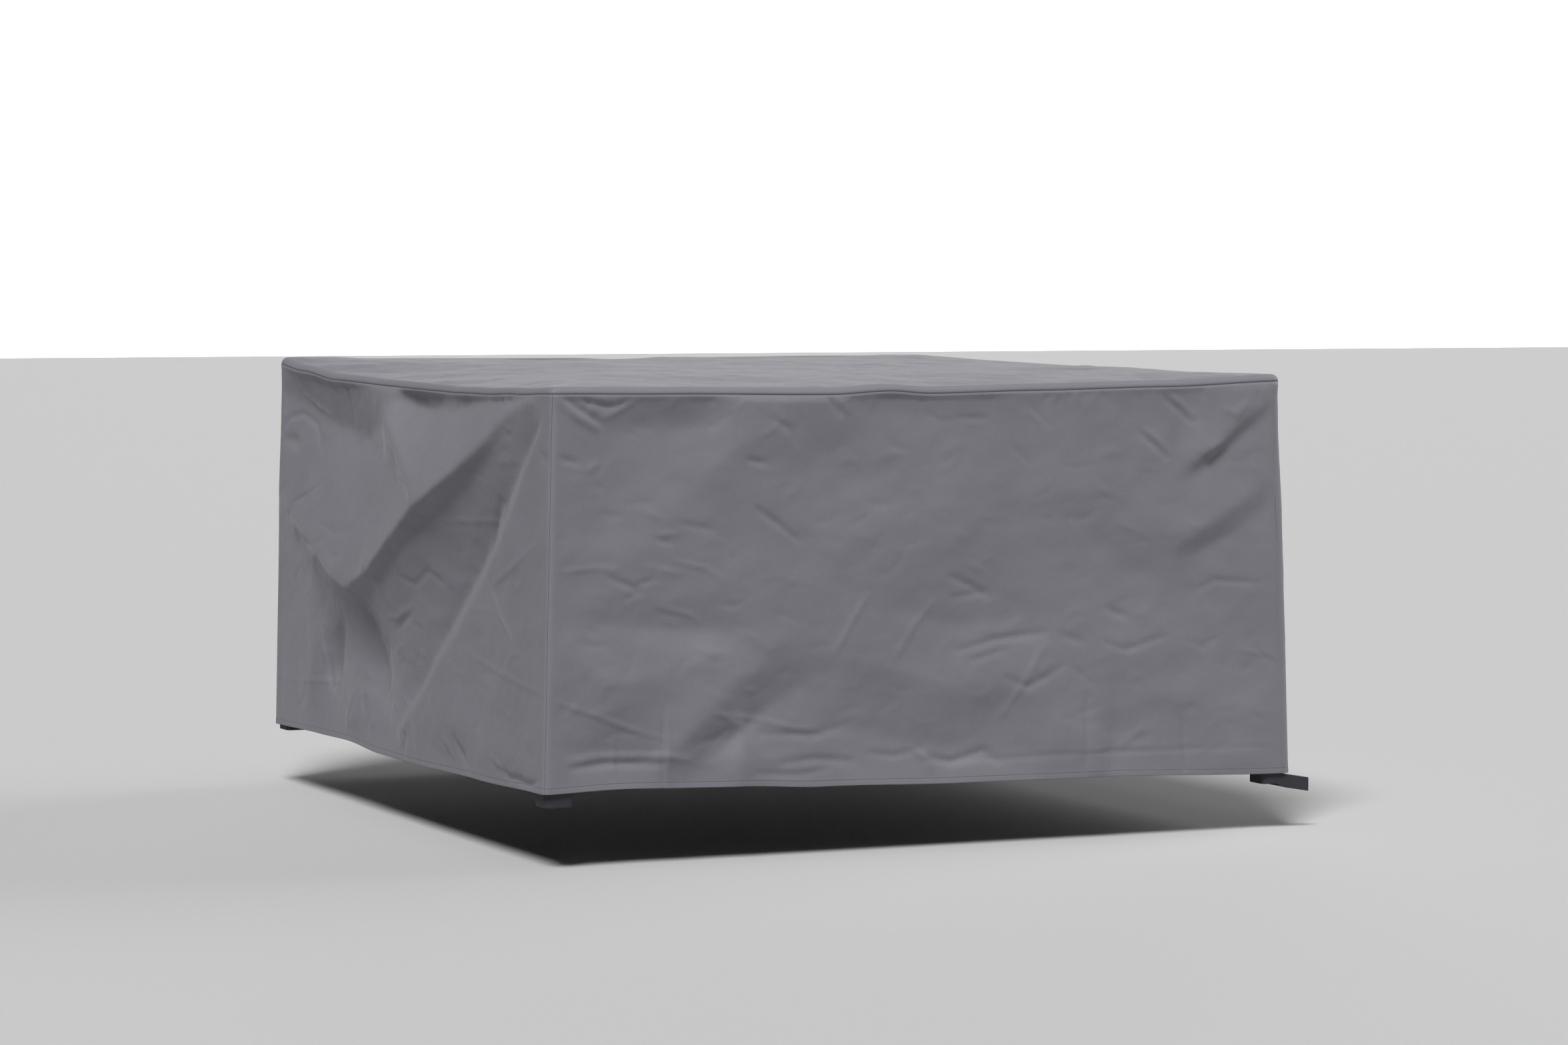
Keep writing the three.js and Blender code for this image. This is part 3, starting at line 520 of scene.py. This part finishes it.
def relax(lines, pull, low, high, foot):
    """Depth grid of the skin, from coarse to fine. The top row keeps the edge's own pull."""
    grid = None
    for step in RELAX_STEPS:
        columns = int(round((high - low) / step))
        rows = int(round(-foot / step))
        depth, held = hold_lines(lines, low, rows, columns, step)
        depth[0] = profile_at(pull, low + step * np.arange(columns + 1))
        if grid is not None:
            depth = np.where(held, depth, resample(grid, depth.shape))
        checker = np.add.outer(np.arange(rows + 1), np.arange(columns + 1)) % 2
        for _ in range(RELAX_SWEEPS):
            for colour in (0, 1):
                mean = depth.copy()
                mean[1:-1, 1:-1] = (
                    depth[:-2, 1:-1] + depth[2:, 1:-1] + depth[1:-1, :-2] + depth[1:-1, 2:]
                ) / 4
                turn = (~held) & (checker == colour)
                depth = np.where(turn, depth + RELAX_GAIN * (mean - depth), depth)
        grid = depth
    return grid


def blur(grid, sigma):
    """Gaussian blur; sigma is in grid steps."""
    reach = int(math.ceil(3 * sigma))
    kernel = np.exp(-0.5 * (np.arange(-reach, reach + 1) / sigma) ** 2)
    kernel /= kernel.sum()
    padded = np.pad(grid, reach, mode="edge")
    rows = np.apply_along_axis(lambda m: np.convolve(m, kernel, mode="valid"), 0, padded)
    return np.apply_along_axis(lambda m: np.convolve(m, kernel, mode="valid"), 1, rows)


def crease_depth(creases, along, height):
    """Summed depth of soft troughs and ridges at arrays of panel coordinates."""
    total = np.zeros(along.shape)
    for depth, half_width, points in creases:
        points = np.array(points, float)
        reach = 3 * half_width
        low, high = points.min(axis=0) - reach, points.max(axis=0) + reach
        near = (along > low[0]) & (along < high[0]) & (height > low[1]) & (height < high[1])
        if not near.any():
            continue
        here = np.stack([along[near], height[near]], axis=-1)
        lengths = np.linalg.norm(np.diff(points, axis=0), axis=1)
        whole = lengths.sum()
        best = np.full(len(here), 1e9)
        place = np.zeros(len(here))
        walked = 0.0
        for start, end, length in zip(points[:-1], points[1:], lengths):
            share = np.clip(((here - start) @ (end - start)) / length**2, 0, 1)
            distance = np.linalg.norm(here - (start + share[:, None] * (end - start)), axis=1)
            closer = distance < best
            place = np.where(closer, (walked + share * length) / whole, place)
            best = np.where(closer, distance, best)
            walked += length
        taper = np.sin(np.pi * np.clip(TAPER_START + TAPER_SPAN * place, 0, 1)) ** TAPER_POWER
        total[near] += depth * taper * np.exp(-((best / half_width) ** 2))
    return total


def ripples(random, low, high, foot):
    """Chance unevenness of the cloth on a grid of the panel."""
    shape = tuple(int(round(size / RIPPLE_STEP)) + 1 for size in (-foot, high - low))
    total = np.zeros(shape)
    for wavelength, height in RIPPLES:
        cell = wavelength / 2 / RIPPLE_STEP
        coarse = random.normal(size=(int(shape[0] / cell) + 3, int(shape[1] / (1.5 * cell)) + 3))
        fine = blur(resample(coarse, shape), cell / 2)
        total += fine / fine.std() * height
    return total


def chance_creases(random, low, high, foot):
    """Short creases at chance places, most of them nearly level."""
    made = []
    for _ in range(CHANCE_CREASES):
        along = random.uniform(low + CREASE_MARGIN, high - CREASE_MARGIN)
        fall = (-foot - 2 * CREASE_MARGIN) * random.uniform(0, 1) ** CREASE_RISE
        turn = random.normal(0, CREASE_TILT)
        length = random.uniform(*CREASE_LENGTHS)
        bend = random.normal(0, CREASE_BEND)
        step = np.array([math.cos(turn), math.sin(turn)]) * length / 2
        side = np.array([-step[1], step[0]]) * bend
        middle = np.array([along, -CREASE_MARGIN - fall])
        depth = random.choice([-1, 1]) * random.uniform(*CREASE_DEPTHS)
        half_width = random.uniform(*CREASE_HALF_WIDTHS)
        made.append((depth, half_width, [middle - step, middle + side, middle + step]))
    return made


def seam_puckers(random, low, high):
    """Short puckers where the skirt is gathered into the top seam."""
    made = []
    for _ in range(SEAM_PUCKERS):
        along = random.uniform(low + PUCKER_MARGIN, high - PUCKER_MARGIN)
        length = random.uniform(*PUCKER_LENGTHS)
        slant = random.normal(0, PUCKER_SLANT) * length
        depth = random.choice([-1, 1]) * random.uniform(*PUCKER_DEPTHS)
        half_width = random.uniform(*PUCKER_HALF_WIDTHS)
        made.append((depth, half_width, [(along, PUCKER_TOP), (along + slant, PUCKER_FOOT - length)]))
    return made


# ---- Meshes ----


def grid_normals(points, flip=1.0):
    down = np.gradient(points, axis=0)
    across = np.gradient(points, axis=1)
    return flip * unit(np.cross(down, across))


def sheet_mesh(name, points, normals, thickness, place, closed=False):
    """Closed sheet about a grid of points in millimetres; thickness is a number or a grid.

    place holds each point's own place on the flat cloth and its height above the hem. A closed grid
    joins its last column to its first.
    """
    rows, columns = points.shape[:2]
    half = (np.broadcast_to(thickness, (rows, columns)) / 2)[..., None]
    outer = (points + normals * half).reshape(-1, 3)
    inner = (points - normals * half).reshape(-1, 3)
    count = rows * columns
    index = np.arange(count).reshape(rows, columns)
    if closed:
        borders = [index[0, ::-1], index[-1]]
        index = np.hstack([index, index[:, :1]])
    else:
        borders = [np.concatenate([index[0, ::-1], index[1:, 0], index[-1, 1:], index[-2:0:-1, -1]])]
    a, b, c, d = index[:-1, :-1], index[1:, :-1], index[1:, 1:], index[:-1, 1:]
    front = np.stack([a, b, c, d], axis=-1).reshape(-1, 4)
    back = np.stack([a, d, c, b], axis=-1).reshape(-1, 4) + count
    turns = [np.roll(border, -1) for border in borders]
    rim = np.vstack([np.stack([t, e, e + count, t + count], axis=-1) for e, t in zip(borders, turns)])
    faces = np.vstack([front, back, rim])
    mesh = bpy.data.meshes.new(name)
    mesh.vertices.add(2 * count)
    mesh.vertices.foreach_set("co", (np.vstack([outer, inner]) * MM).ravel().astype(np.float32))
    mesh.loops.add(faces.size)
    mesh.loops.foreach_set("vertex_index", faces.ravel().astype(np.int32))
    mesh.polygons.add(len(faces))
    mesh.polygons.foreach_set("loop_start", np.arange(0, faces.size, 4, dtype=np.int32))
    mesh.update(calc_edges=True)
    mesh.validate()
    layer = mesh.attributes.new("cloth_place", "FLOAT_VECTOR", "POINT")
    flat = place.reshape(-1, 3) * MM
    layer.data.foreach_set("vector", np.vstack([flat, flat]).ravel().astype(np.float32))
    mesh.polygons.foreach_set("use_smooth", np.ones(len(mesh.polygons), bool))
    obj = bpy.data.objects.new(name, mesh)
    bpy.context.scene.collection.objects.link(obj)
    return obj


# ---- Materials ----

WEAVE_PITCH = 1.3 * MM  # two threads of the cloth
STITCH_PITCH = 3.4 * MM
STITCH_HEIGHT = 9.8 * MM  # of the seam that holds the hem


def math_node(tree, operation, a, b=0.0):
    node = tree.nodes.new("ShaderNodeMath")
    node.operation = operation
    for socket, value in zip(node.inputs, (a, b)):
        if isinstance(value, (int, float)):
            socket.default_value = value
        else:
            tree.links.new(value, socket)
    return node.outputs[0]


def map_node(tree, value, low, high, to_low, to_high):
    node = tree.nodes.new("ShaderNodeMapRange")
    for socket, number in zip(list(node.inputs)[1:5], (low, high, to_low, to_high)):
        socket.default_value = number
    tree.links.new(value, node.inputs[0])
    return node.outputs[0]


def noise_node(tree, place, scale, detail, stretch=(1, 1, 0)):
    """Noise over the flat cloth, from 0 to 1; scale is in cycles per metre."""
    flat = tree.nodes.new("ShaderNodeVectorMath")
    flat.operation = "MULTIPLY"
    flat.inputs[1].default_value = stretch
    tree.links.new(place, flat.inputs[0])
    noise = tree.nodes.new("ShaderNodeTexNoise")
    noise.inputs["Scale"].default_value = scale
    noise.inputs["Detail"].default_value = detail
    tree.links.new(flat.outputs[0], noise.inputs["Vector"])
    return noise.outputs[0]


def wave_node(tree, value, pitch):
    return math_node(tree, "SINE", math_node(tree, "MULTIPLY", value, 2 * math.pi / pitch))


def tinted(tree, colour, factor):
    """A colour times a value that varies over the surface."""
    node = tree.nodes.new("ShaderNodeVectorMath")
    node.operation = "SCALE"
    node.inputs[0].default_value = colour
    tree.links.new(factor, node.inputs["Scale"])
    return node.outputs[0]


def add_bump(tree, shader, height):
    """Bump from a height in metres."""
    bump = tree.nodes.new("ShaderNodeBump")
    bump.inputs["Strength"].default_value = 1.0
    bump.inputs["Distance"].default_value = 1.0
    tree.links.new(height, bump.inputs["Height"])
    tree.links.new(bump.outputs[0], shader.inputs["Normal"])


def new_material(name):
    material = bpy.data.materials.new(name)
    material.use_nodes = True
    tree = material.node_tree
    place = tree.nodes.new("ShaderNodeAttribute")
    place.attribute_name = "cloth_place"
    parts = tree.nodes.new("ShaderNodeSeparateXYZ")
    tree.links.new(place.outputs["Vector"], parts.inputs[0])
    return material, tree, tree.nodes["Principled BSDF"], place.outputs["Vector"], parts.outputs


def cloth_material():
    """Coated polyester: plain weave, faint slubs and crumples, uneven tone, and the hem's stitches."""
    material, tree, shader, place, (along, down, above_hem) = new_material("cover_cloth")
    upright = wave_node(tree, along, WEAVE_PITCH)
    level = wave_node(tree, down, WEAVE_PITCH)
    weave = math_node(tree, "MULTIPLY", upright, level)
    slubs = noise_node(tree, place, 150, 2, (1, 5, 0))
    crumples = noise_node(tree, place, 42, 4)
    from_row = math_node(tree, "ABSOLUTE", math_node(tree, "SUBTRACT", above_hem, STITCH_HEIGHT))
    row = map_node(tree, from_row, 0.5 * MM, 1.3 * MM, 1.0, 0.0)
    dash = map_node(tree, wave_node(tree, along, STITCH_PITCH), -0.7, -0.2, 0.25, 1.0)
    stitches = math_node(tree, "MULTIPLY", row, dash)
    height = math_node(tree, "MULTIPLY", weave, 0.02 * MM)
    for value, rise in ((slubs, 0.10 * MM), (crumples, 0.75 * MM), (stitches, -0.25 * MM)):
        height = math_node(tree, "ADD", height, math_node(tree, "MULTIPLY", value, rise))
    add_bump(tree, shader, height)
    tone = map_node(tree, noise_node(tree, place, 6, 3), 0.25, 0.75, 0.95, 1.05)
    threads = map_node(tree, slubs, 0.25, 0.75, 0.965, 1.035)
    sewn = map_node(tree, stitches, 0.0, 1.0, 1.0, 0.66)
    factor = math_node(tree, "MULTIPLY", math_node(tree, "MULTIPLY", tone, threads), sewn)
    tree.links.new(tinted(tree, CLOTH_COLOUR, factor), shader.inputs["Base Color"])
    roughness = map_node(tree, crumples, 0.25, 0.75, 0.52, 0.6)
    tree.links.new(roughness, shader.inputs["Roughness"])
    shader.inputs["Specular IOR Level"].default_value = 0.15
    shader.inputs["Sheen Weight"].default_value = 0.12
    shader.inputs["Sheen Roughness"].default_value = 0.4
    return material


def webbing_material():
    """Dark woven webbing: ribs along its length, crossed by the fine threads of its weave."""
    material, tree, shader, place, (along, down, _) = new_material("strap_webbing")
    ribs = wave_node(tree, down, 2.0 * MM)
    threads = wave_node(tree, along, 1.2 * MM)
    weave = math_node(tree, "MULTIPLY", ribs, threads)
    add_bump(tree, shader, math_node(tree, "MULTIPLY", weave, 0.06 * MM))
    uneven = noise_node(tree, place, 90, 3)
    shade = math_node(tree, "ADD", uneven, math_node(tree, "MULTIPLY", weave, 0.2))
    factor = map_node(tree, shade, 0, 1, 0.8, 1.2)
    tree.links.new(tinted(tree, WEBBING_COLOUR, factor), shader.inputs["Base Color"])
    shader.inputs["Roughness"].default_value = 0.7
    return material


CLOTH = cloth_material()
WEBBING = webbing_material()

# ---- Skirt panels ----

STRAIGHT_STEPS = {"front_panel": 280, "left_end_panel": 280, "right_end_panel": 210, "back_panel": 210}
PANEL_ROWS = {"front_panel": 150, "left_end_panel": 150, "right_end_panel": 110, "back_panel": 110}
HEM_ROWS = 12  # rows of the drawn mesh that lie in the hem and just above it
HEM_REACH = 1.4  # height that those rows cover, in hem depths
HEM_STEP = (-0.6, 0.8)  # from the hem's upper edge, where the cloth goes from double to single
GROOVE_DEPTH = 0.7  # of the groove along the hem's stitched row
GROOVE_WIDTH = 0.9
PANEL_SEED = 11
FOLD_BLUR = 1.4  # in cells of the finest relaxed grid
SEAM_BLEND = 12  # drop below the top seam over which the folds set in
CORNER_BARE = 8  # distance from a corner within which there is no fold
CORNER_BLEND = 45  # distance at which the folds are full
HEM_FADE = 60  # height above the hem over which the chance unevenness sets in
PLACE_APART = 3000  # distance between panels on the flat cloth, so that no two share a pattern
FAR_FROM_HEM = 1000.0  # height above a hem given to pieces that have none


def row_shares(rows, drop):
    """Shares of the drop at which the rows lie, close together in the hem."""
    hem = HEM_REACH * HEM_DEPTH / drop
    upper = np.linspace(0, 1 - hem, rows - HEM_ROWS + 1)
    lower = np.linspace(1 - hem, 1, HEM_ROWS + 1)
    return np.concatenate([upper, lower[1:]])[:, None]


def skirt_points(name):
    """Grid of a skirt panel's points, its stations, and the points' places on the flat cloth."""
    side = SIDES[name]
    stations = make_stations(name, STRAIGHT_STEPS[name])
    axis = side["axis"]
    reach = stations["hem"][:, axis]
    low, high = reach.min(), reach.max()
    foot = stations["foot"].min()
    random = np.random.RandomState(PANEL_SEED + SIDE_ORDER.index(name))
    grid = blur(relax(FOLDS[name], side["pull"], low, high, foot), FOLD_BLUR)
    chance = ripples(random, low, high, foot)
    fall = row_shares(PANEL_ROWS[name], -foot)
    start = stations["edge"] - EDGE_RADIUS - SEAM_GAP
    height = between(start[None, :], stations["foot"][None, :], fall)
    plan = between(stations["top"][None], stations["hem"][None], fall[..., None])
    step = (high - low) / (grid.shape[1] - 1)
    along = plan[..., axis]
    depth = sample(grid, -height / (-foot / (grid.shape[0] - 1)), (along - low) / step)
    to_corner = np.minimum(along - low, high - along)
    level = np.broadcast_to(height, along.shape)
    above_hem = level - stations["foot"][None, :]
    across = (along - low) / (high - low) * (chance.shape[1] - 1)
    fine = sample(chance, -height / (-foot / (chance.shape[0] - 1)), across)
    fine = fine + crease_depth(chance_creases(random, low, high, foot), along, level)
    fine = fine + crease_depth(seam_puckers(random, low, high), along, level)
    fine = fine * smooth_step(above_hem, 0, HEM_FADE)
    depth = depth + fine + CREASE_GAIN * crease_depth(CREASES[name], along, level)
    below_seam = smooth_step(start[None, :] - height, 0, SEAM_BLEND)
    depth = between(stations["pull"][None, :], depth, below_seam)
    depth = depth * smooth_step(to_corner, CORNER_BARE, CORNER_BLEND)
    plan = plan - stations["out"][None] * depth[..., None]
    points = np.concatenate([plan, height[..., None]], axis=-1)
    points[:, 0] += unit(points[:, 1] - points[:, 0]) * SEAM_GAP / 2
    points[:, -1] += unit(points[:, -2] - points[:, -1]) * SEAM_GAP / 2
    place = np.stack([along + PLACE_APART * SIDE_ORDER.index(name), level, above_hem], axis=-1)
    return points, stations, place


def make_skirt(name):
    points, stations, place = skirt_points(name)
    normals = grid_normals(points)
    flat = np.concatenate([stations["out"], np.zeros((len(stations["out"]), 1))], axis=1)
    normals[0] = flat
    normals[:, 0] = flat[0]
    normals[:, -1] = flat[-1]
    above_hem = place[..., 2]
    single = smooth_step(above_hem, HEM_DEPTH + HEM_STEP[0], HEM_DEPTH + HEM_STEP[1])
    from_row = (above_hem - STITCH_HEIGHT / MM) / GROOVE_WIDTH
    thickness = between(HEM_SHEET, SHEET, single) - GROOVE_DEPTH * np.exp(-(from_row**2))
    panel = sheet_mesh(name + "_cloth", points, normals, thickness, place)
    panel.data.materials.append(CLOTH)
    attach(panel, "root")
    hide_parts(name)


# ---- Top panel ----

TOP_RINGS = 108
CURL_RINGS = 5
TOP_SEED = 7
TOP_HALF = 740.0  # half the side of the square that the chance unevenness covers
TOP_MIDDLE = 1.0  # height of the sheet's mid-surface at the middle of the top


def top_unevenness(plan):
    """Soft unevenness and short creases of the top panel at an array of plan points."""
    random = np.random.RandomState(TOP_SEED)
    half = TOP_HALF
    chance = ripples(random, -half, half, -2 * half)
    across = (plan[..., 0] + half) / (2 * half) * (chance.shape[1] - 1)
    down = (half - plan[..., 1]) / (2 * half) * (chance.shape[0] - 1)
    creases = chance_creases(random, -half, half, -2 * half)
    return sample(chance, down, across) + crease_depth(creases, plan[..., 0], plan[..., 1] - half)


def make_top():
    """Top sheet on square rings; a and b count columns and rows from its middle."""
    size = 2 * TOP_RINGS
    straight = size - 2 * CORNER_STEPS
    flat_rings = TOP_RINGS - CURL_RINGS
    keys = ("top", "edge", "out", "pull")
    around = {key: [] for key in keys}
    for name in SIDE_ORDER:
        stations = make_stations(name, straight)
        for key in keys:
            around[key].append(stations[key])
    steps = np.arange(-TOP_RINGS, TOP_RINGS + 1)
    b, a = np.meshgrid(steps, steps, indexing="ij")
    ring = np.maximum(np.abs(a), np.abs(b))
    side = np.full(a.shape, 3)
    side[(b == ring) & (a > -ring)] = 2
    side[(a == ring) & (b < ring)] = 1
    side[(b == -ring) & (a < ring)] = 0
    place = np.select([side == 0, side == 1, side == 2, side == 3], [a, b, -a, -b])
    position = (place + ring) / np.maximum(2 * ring, 1) * size
    first = np.minimum(np.floor(position).astype(int), size - 1)
    t = position - first
    plan = np.zeros(a.shape + (2,))
    out = np.zeros(a.shape + (2,))
    edge = np.zeros(a.shape)
    pull = np.zeros(a.shape)
    for k in range(4):
        mask = side == k
        for target, key in ((plan, "top"), (out, "out"), (edge, "edge"), (pull, "pull")):
            values = around[key][k]
            share = t[mask] if values.ndim == 1 else t[mask][:, None]
            target[mask] = between(values[first[mask]], values[first[mask] + 1], share)
    out = unit(out)
    turn = np.clip((ring - flat_rings) / CURL_RINGS, 0, 1) * math.pi / 2
    share = np.minimum(ring / flat_rings, 1.0)
    plan = (plan - out * (pull + EDGE_RADIUS * (1 - np.sin(turn)))[..., None]) * share[..., None]
    height = between(TOP_MIDDLE, edge, share**4) - EDGE_RADIUS * (1 - np.cos(turn))
    height = height + top_unevenness(plan) * smooth_step(flat_rings - ring, 0, 3)
    points = np.concatenate([plan, height[..., None]], axis=-1)
    normals = grid_normals(points, -1.0)
    rim = ring == TOP_RINGS
    normals[rim, :2] = out[rim]
    normals[rim, 2] = 0
    points = points[:, ::-1]
    normals = normals[:, ::-1]
    no_hem = np.full(ring.shape, FAR_FROM_HEM)
    place = np.stack([points[..., 0] - PLACE_APART, points[..., 1], no_hem], axis=-1)
    panel = sheet_mesh("top_panel_cloth", points, normals, SHEET, place)
    panel.data.materials.append(CLOTH)
    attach(panel, "root")
    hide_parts("top_panel")


# ---- Straps ----

WEBBING_THICKNESS = 1.8
LEG_HALF = 24.0  # half the side of a chair leg, which the straps loop round
LEG_RADIUS = 10.0  # of its rounded corners
LEG_GAP = 0.5
LOOP_HALF = LEG_HALF + LEG_GAP + WEBBING_THICKNESS / 2
LOOP_RADIUS = LEG_RADIUS + LEG_GAP + WEBBING_THICKNESS / 2
TAIL_STEP = 1.2  # gap between the two layers of the free tail
TAIL_BEND = 5.0
TAIL_EXCESS = 2  # how much further its inner layer reaches
CORNER_DROP = 8.5  # how far the strap has sunk where it passes under the hem corner
TAIL_DROP = 8.0  # how far it sinks from there to its end
PATH_STEP = 1.5
STRAP_ROWS = np.concatenate([[0, 0.03], np.linspace(0.07, 0.93, 17), [0.97, 1]])  # shares of its width
EDGE_THINNING = 0.5  # share of the thickness lost at its edges
EDGE_SHARPNESS = 24

# Middle of each chair leg, the height of the strap's lower edge, its width, how much wider the loop
# is at its upper edge, and the length of its free tail.
STRAPS = {
    "strap_front_left": {"leg": (-704, -680), "low": -717, "width": 30, "flare": 3, "tail": 0},
    "strap_front_right": {"leg": (706, -682), "low": -741, "width": 25, "flare": 0, "tail": 46},
    "strap_back_right": {"leg": (717, 682), "low": -731, "width": 25, "flare": 0, "tail": 0},
    "strap_back_left": {"leg": (-684, 682), "low": -720, "width": 25, "flare": 0, "tail": 0},
}


def rounded_path(vertices, radii, closed):
    """Evenly spaced points along a path with rounded corners."""
    vertices = np.array(vertices, float)
    count = len(vertices)
    dense = []
    for i, radius in enumerate(radii):
        here = vertices[i]
        if radius == 0:
            dense.append(here[None])
            continue
        arrive = unit(here - vertices[i - 1])
        leave = unit(vertices[(i + 1) % count] - here)
        dense.append(bezier(here - arrive * radius, here, here + leave * radius, np.linspace(0, 1, 12)))
    dense = np.vstack(dense)
    if closed:
        dense = np.vstack([dense, dense[:1]])
    walked = np.concatenate([[0], np.cumsum(np.linalg.norm(np.diff(dense, axis=0), axis=1))])
    steps = int(round(walked[-1] / PATH_STEP))
    places = np.linspace(0, walked[-1], steps + 1)
    if closed:
        places = places[:-1]
    return np.stack([np.interp(places, walked, dense[:, i]) for i in (0, 1)], axis=1)


def strap_path(leg, tail):
    left, right = leg[0] - LOOP_HALF, leg[0] + LOOP_HALF
    front, rear = leg[1] - LOOP_HALF, leg[1] + LOOP_HALF
    if not tail:
        corners = [(left, front), (right, front), (right, rear), (left, rear)]
        return rounded_path(corners, [LOOP_RADIUS] * 4, True)
    second = front + WEBBING_THICKNESS + TAIL_STEP
    corners = [(right + tail + TAIL_EXCESS, second), (right, second)]
    corners += [(right, rear), (left, rear), (left, front), (right + tail, front)]
    return rounded_path(corners, [0, TAIL_BEND, LOOP_RADIUS, LOOP_RADIUS, LOOP_RADIUS, 0], False)


def make_strap(name, leg, low, width, flare, tail):
    path = strap_path(leg, tail)
    if tail:
        direction = unit(np.gradient(path, axis=0))
    else:
        direction = unit(np.roll(path, -1, axis=0) - np.roll(path, 1, axis=0))
    out = np.stack([direction[:, 1], -direction[:, 0]], axis=1)
    down = STRAP_ROWS[:, None]
    drop = np.zeros(len(path))
    if tail:
        right = leg[0] + LOOP_HALF
        drop = CORNER_DROP * smooth_step(path[:, 0], leg[0], right)
        drop = drop + TAIL_DROP * np.maximum(0, (path[:, 0] - right) / tail)
    height = low + width * (1 - down) - drop[None]
    plan = path[None] + out[None] * (flare / 2 * (1 - down))[..., None]
    points = np.concatenate([plan, height[..., None]], axis=-1)
    normals = np.zeros(points.shape)
    normals[..., :2] = out[None]
    thickness = WEBBING_THICKNESS * (1 - EDGE_THINNING * np.abs(2 * down - 1) ** EDGE_SHARPNESS)
    along = np.broadcast_to(PATH_STEP * np.arange(len(path))[None], height.shape)
    across = np.broadcast_to(down * width, height.shape)
    place = np.stack([along, across, np.full(height.shape, FAR_FROM_HEM)], axis=-1)
    strap = sheet_mesh(name + "_webbing", points, normals, thickness, place, closed=not tail)
    strap.data.materials.append(WEBBING)
    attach(strap, "root")
    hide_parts(name)


# ---- Floor and light ----

FLOOR_HALF = 30.0  # metres
FLOOR_COLOUR = (0.5, 0.5, 0.504, 1.0)

# The world is white in a cone behind the object, as the photograph sees it, and nearly black
# elsewhere. The cone's edges are cosines of the angle from its heading, which stays where it is
# when the camera moves.
CONE_STRENGTH = 2.9
AROUND_STRENGTH = 0.03
CONE_OUTER = 0.93
CONE_INNER = 0.972

# Distant soft lights: direction round the object from the front, height and width in degrees.
LIGHTS = {
    "key": {"turn": -40, "rise": 57, "spread": 20, "strength": 3.45},
    "fill": {"turn": 50, "rise": 35, "spread": 50, "strength": 0.05},
    "above": {"turn": -10, "rise": 70, "spread": 60, "strength": 0.10},
    "side": {"turn": 95, "rise": 20, "spread": 40, "strength": 1.40},
}


def add_light(name, turn, rise, spread, strength):
    data = bpy.data.lights.new(name, "SUN")
    data.angle = math.radians(spread)
    data.energy = strength
    light = bpy.data.objects.new(name, data)
    bpy.context.scene.collection.objects.link(light)
    turn, rise = math.radians(turn), math.radians(rise)
    toward = Vector((math.sin(turn) * math.cos(rise), -math.cos(turn) * math.cos(rise), math.sin(rise)))
    light.rotation_euler = toward.to_track_quat("Z", "Y").to_euler()


def make_studio():
    mesh = bpy.data.meshes.new("studio_floor")
    signs = ((-1, -1), (1, -1), (1, 1), (-1, 1))
    corners = [(x * FLOOR_HALF, y * FLOOR_HALF, FLOOR_HEIGHT * MM) for x, y in signs]
    mesh.from_pydata(corners, [], [(0, 1, 2, 3)])
    floor = bpy.data.objects.new("studio_floor", mesh)
    bpy.context.scene.collection.objects.link(floor)
    material = bpy.data.materials.new("pale_floor")
    material.use_nodes = True
    shader = material.node_tree.nodes["Principled BSDF"]
    shader.inputs["Base Color"].default_value = FLOOR_COLOUR
    shader.inputs["Roughness"].default_value = 0.9
    mesh.materials.append(material)
    make_world()
    for name, light in LIGHTS.items():
        add_light(name, **light)
    bpy.context.scene.view_settings.view_transform = "Standard"


def make_world():
    world = bpy.data.worlds.new("studio")
    world.use_nodes = True
    tree = world.node_tree
    direction = tree.nodes.new("ShaderNodeTexCoord")
    toward = tree.nodes.new("ShaderNodeVectorMath")
    toward.operation = "DOT_PRODUCT"
    toward.inputs[1].default_value = (-math.sin(CAMERA_TURN), math.cos(CAMERA_TURN), 0.0)
    ramp = tree.nodes.new("ShaderNodeMapRange")
    ramp.inputs["From Min"].default_value = CONE_OUTER
    ramp.inputs["From Max"].default_value = CONE_INNER
    ramp.inputs["To Min"].default_value = AROUND_STRENGTH
    ramp.inputs["To Max"].default_value = CONE_STRENGTH
    tree.links.new(direction.outputs["Generated"], toward.inputs[0])
    tree.links.new(toward.outputs["Value"], ramp.inputs["Value"])
    tree.links.new(ramp.outputs["Result"], tree.nodes["Background"].inputs["Strength"])
    tree.nodes["Background"].inputs["Color"].default_value = (1.0, 1.0, 1.0, 1.0)
    bpy.context.scene.world = world


make_studio()
make_top()
for panel_name in SIDE_ORDER:
    make_skirt(panel_name)

for strap_name, strap_sizes in STRAPS.items():
    make_strap(strap_name, **strap_sizes)
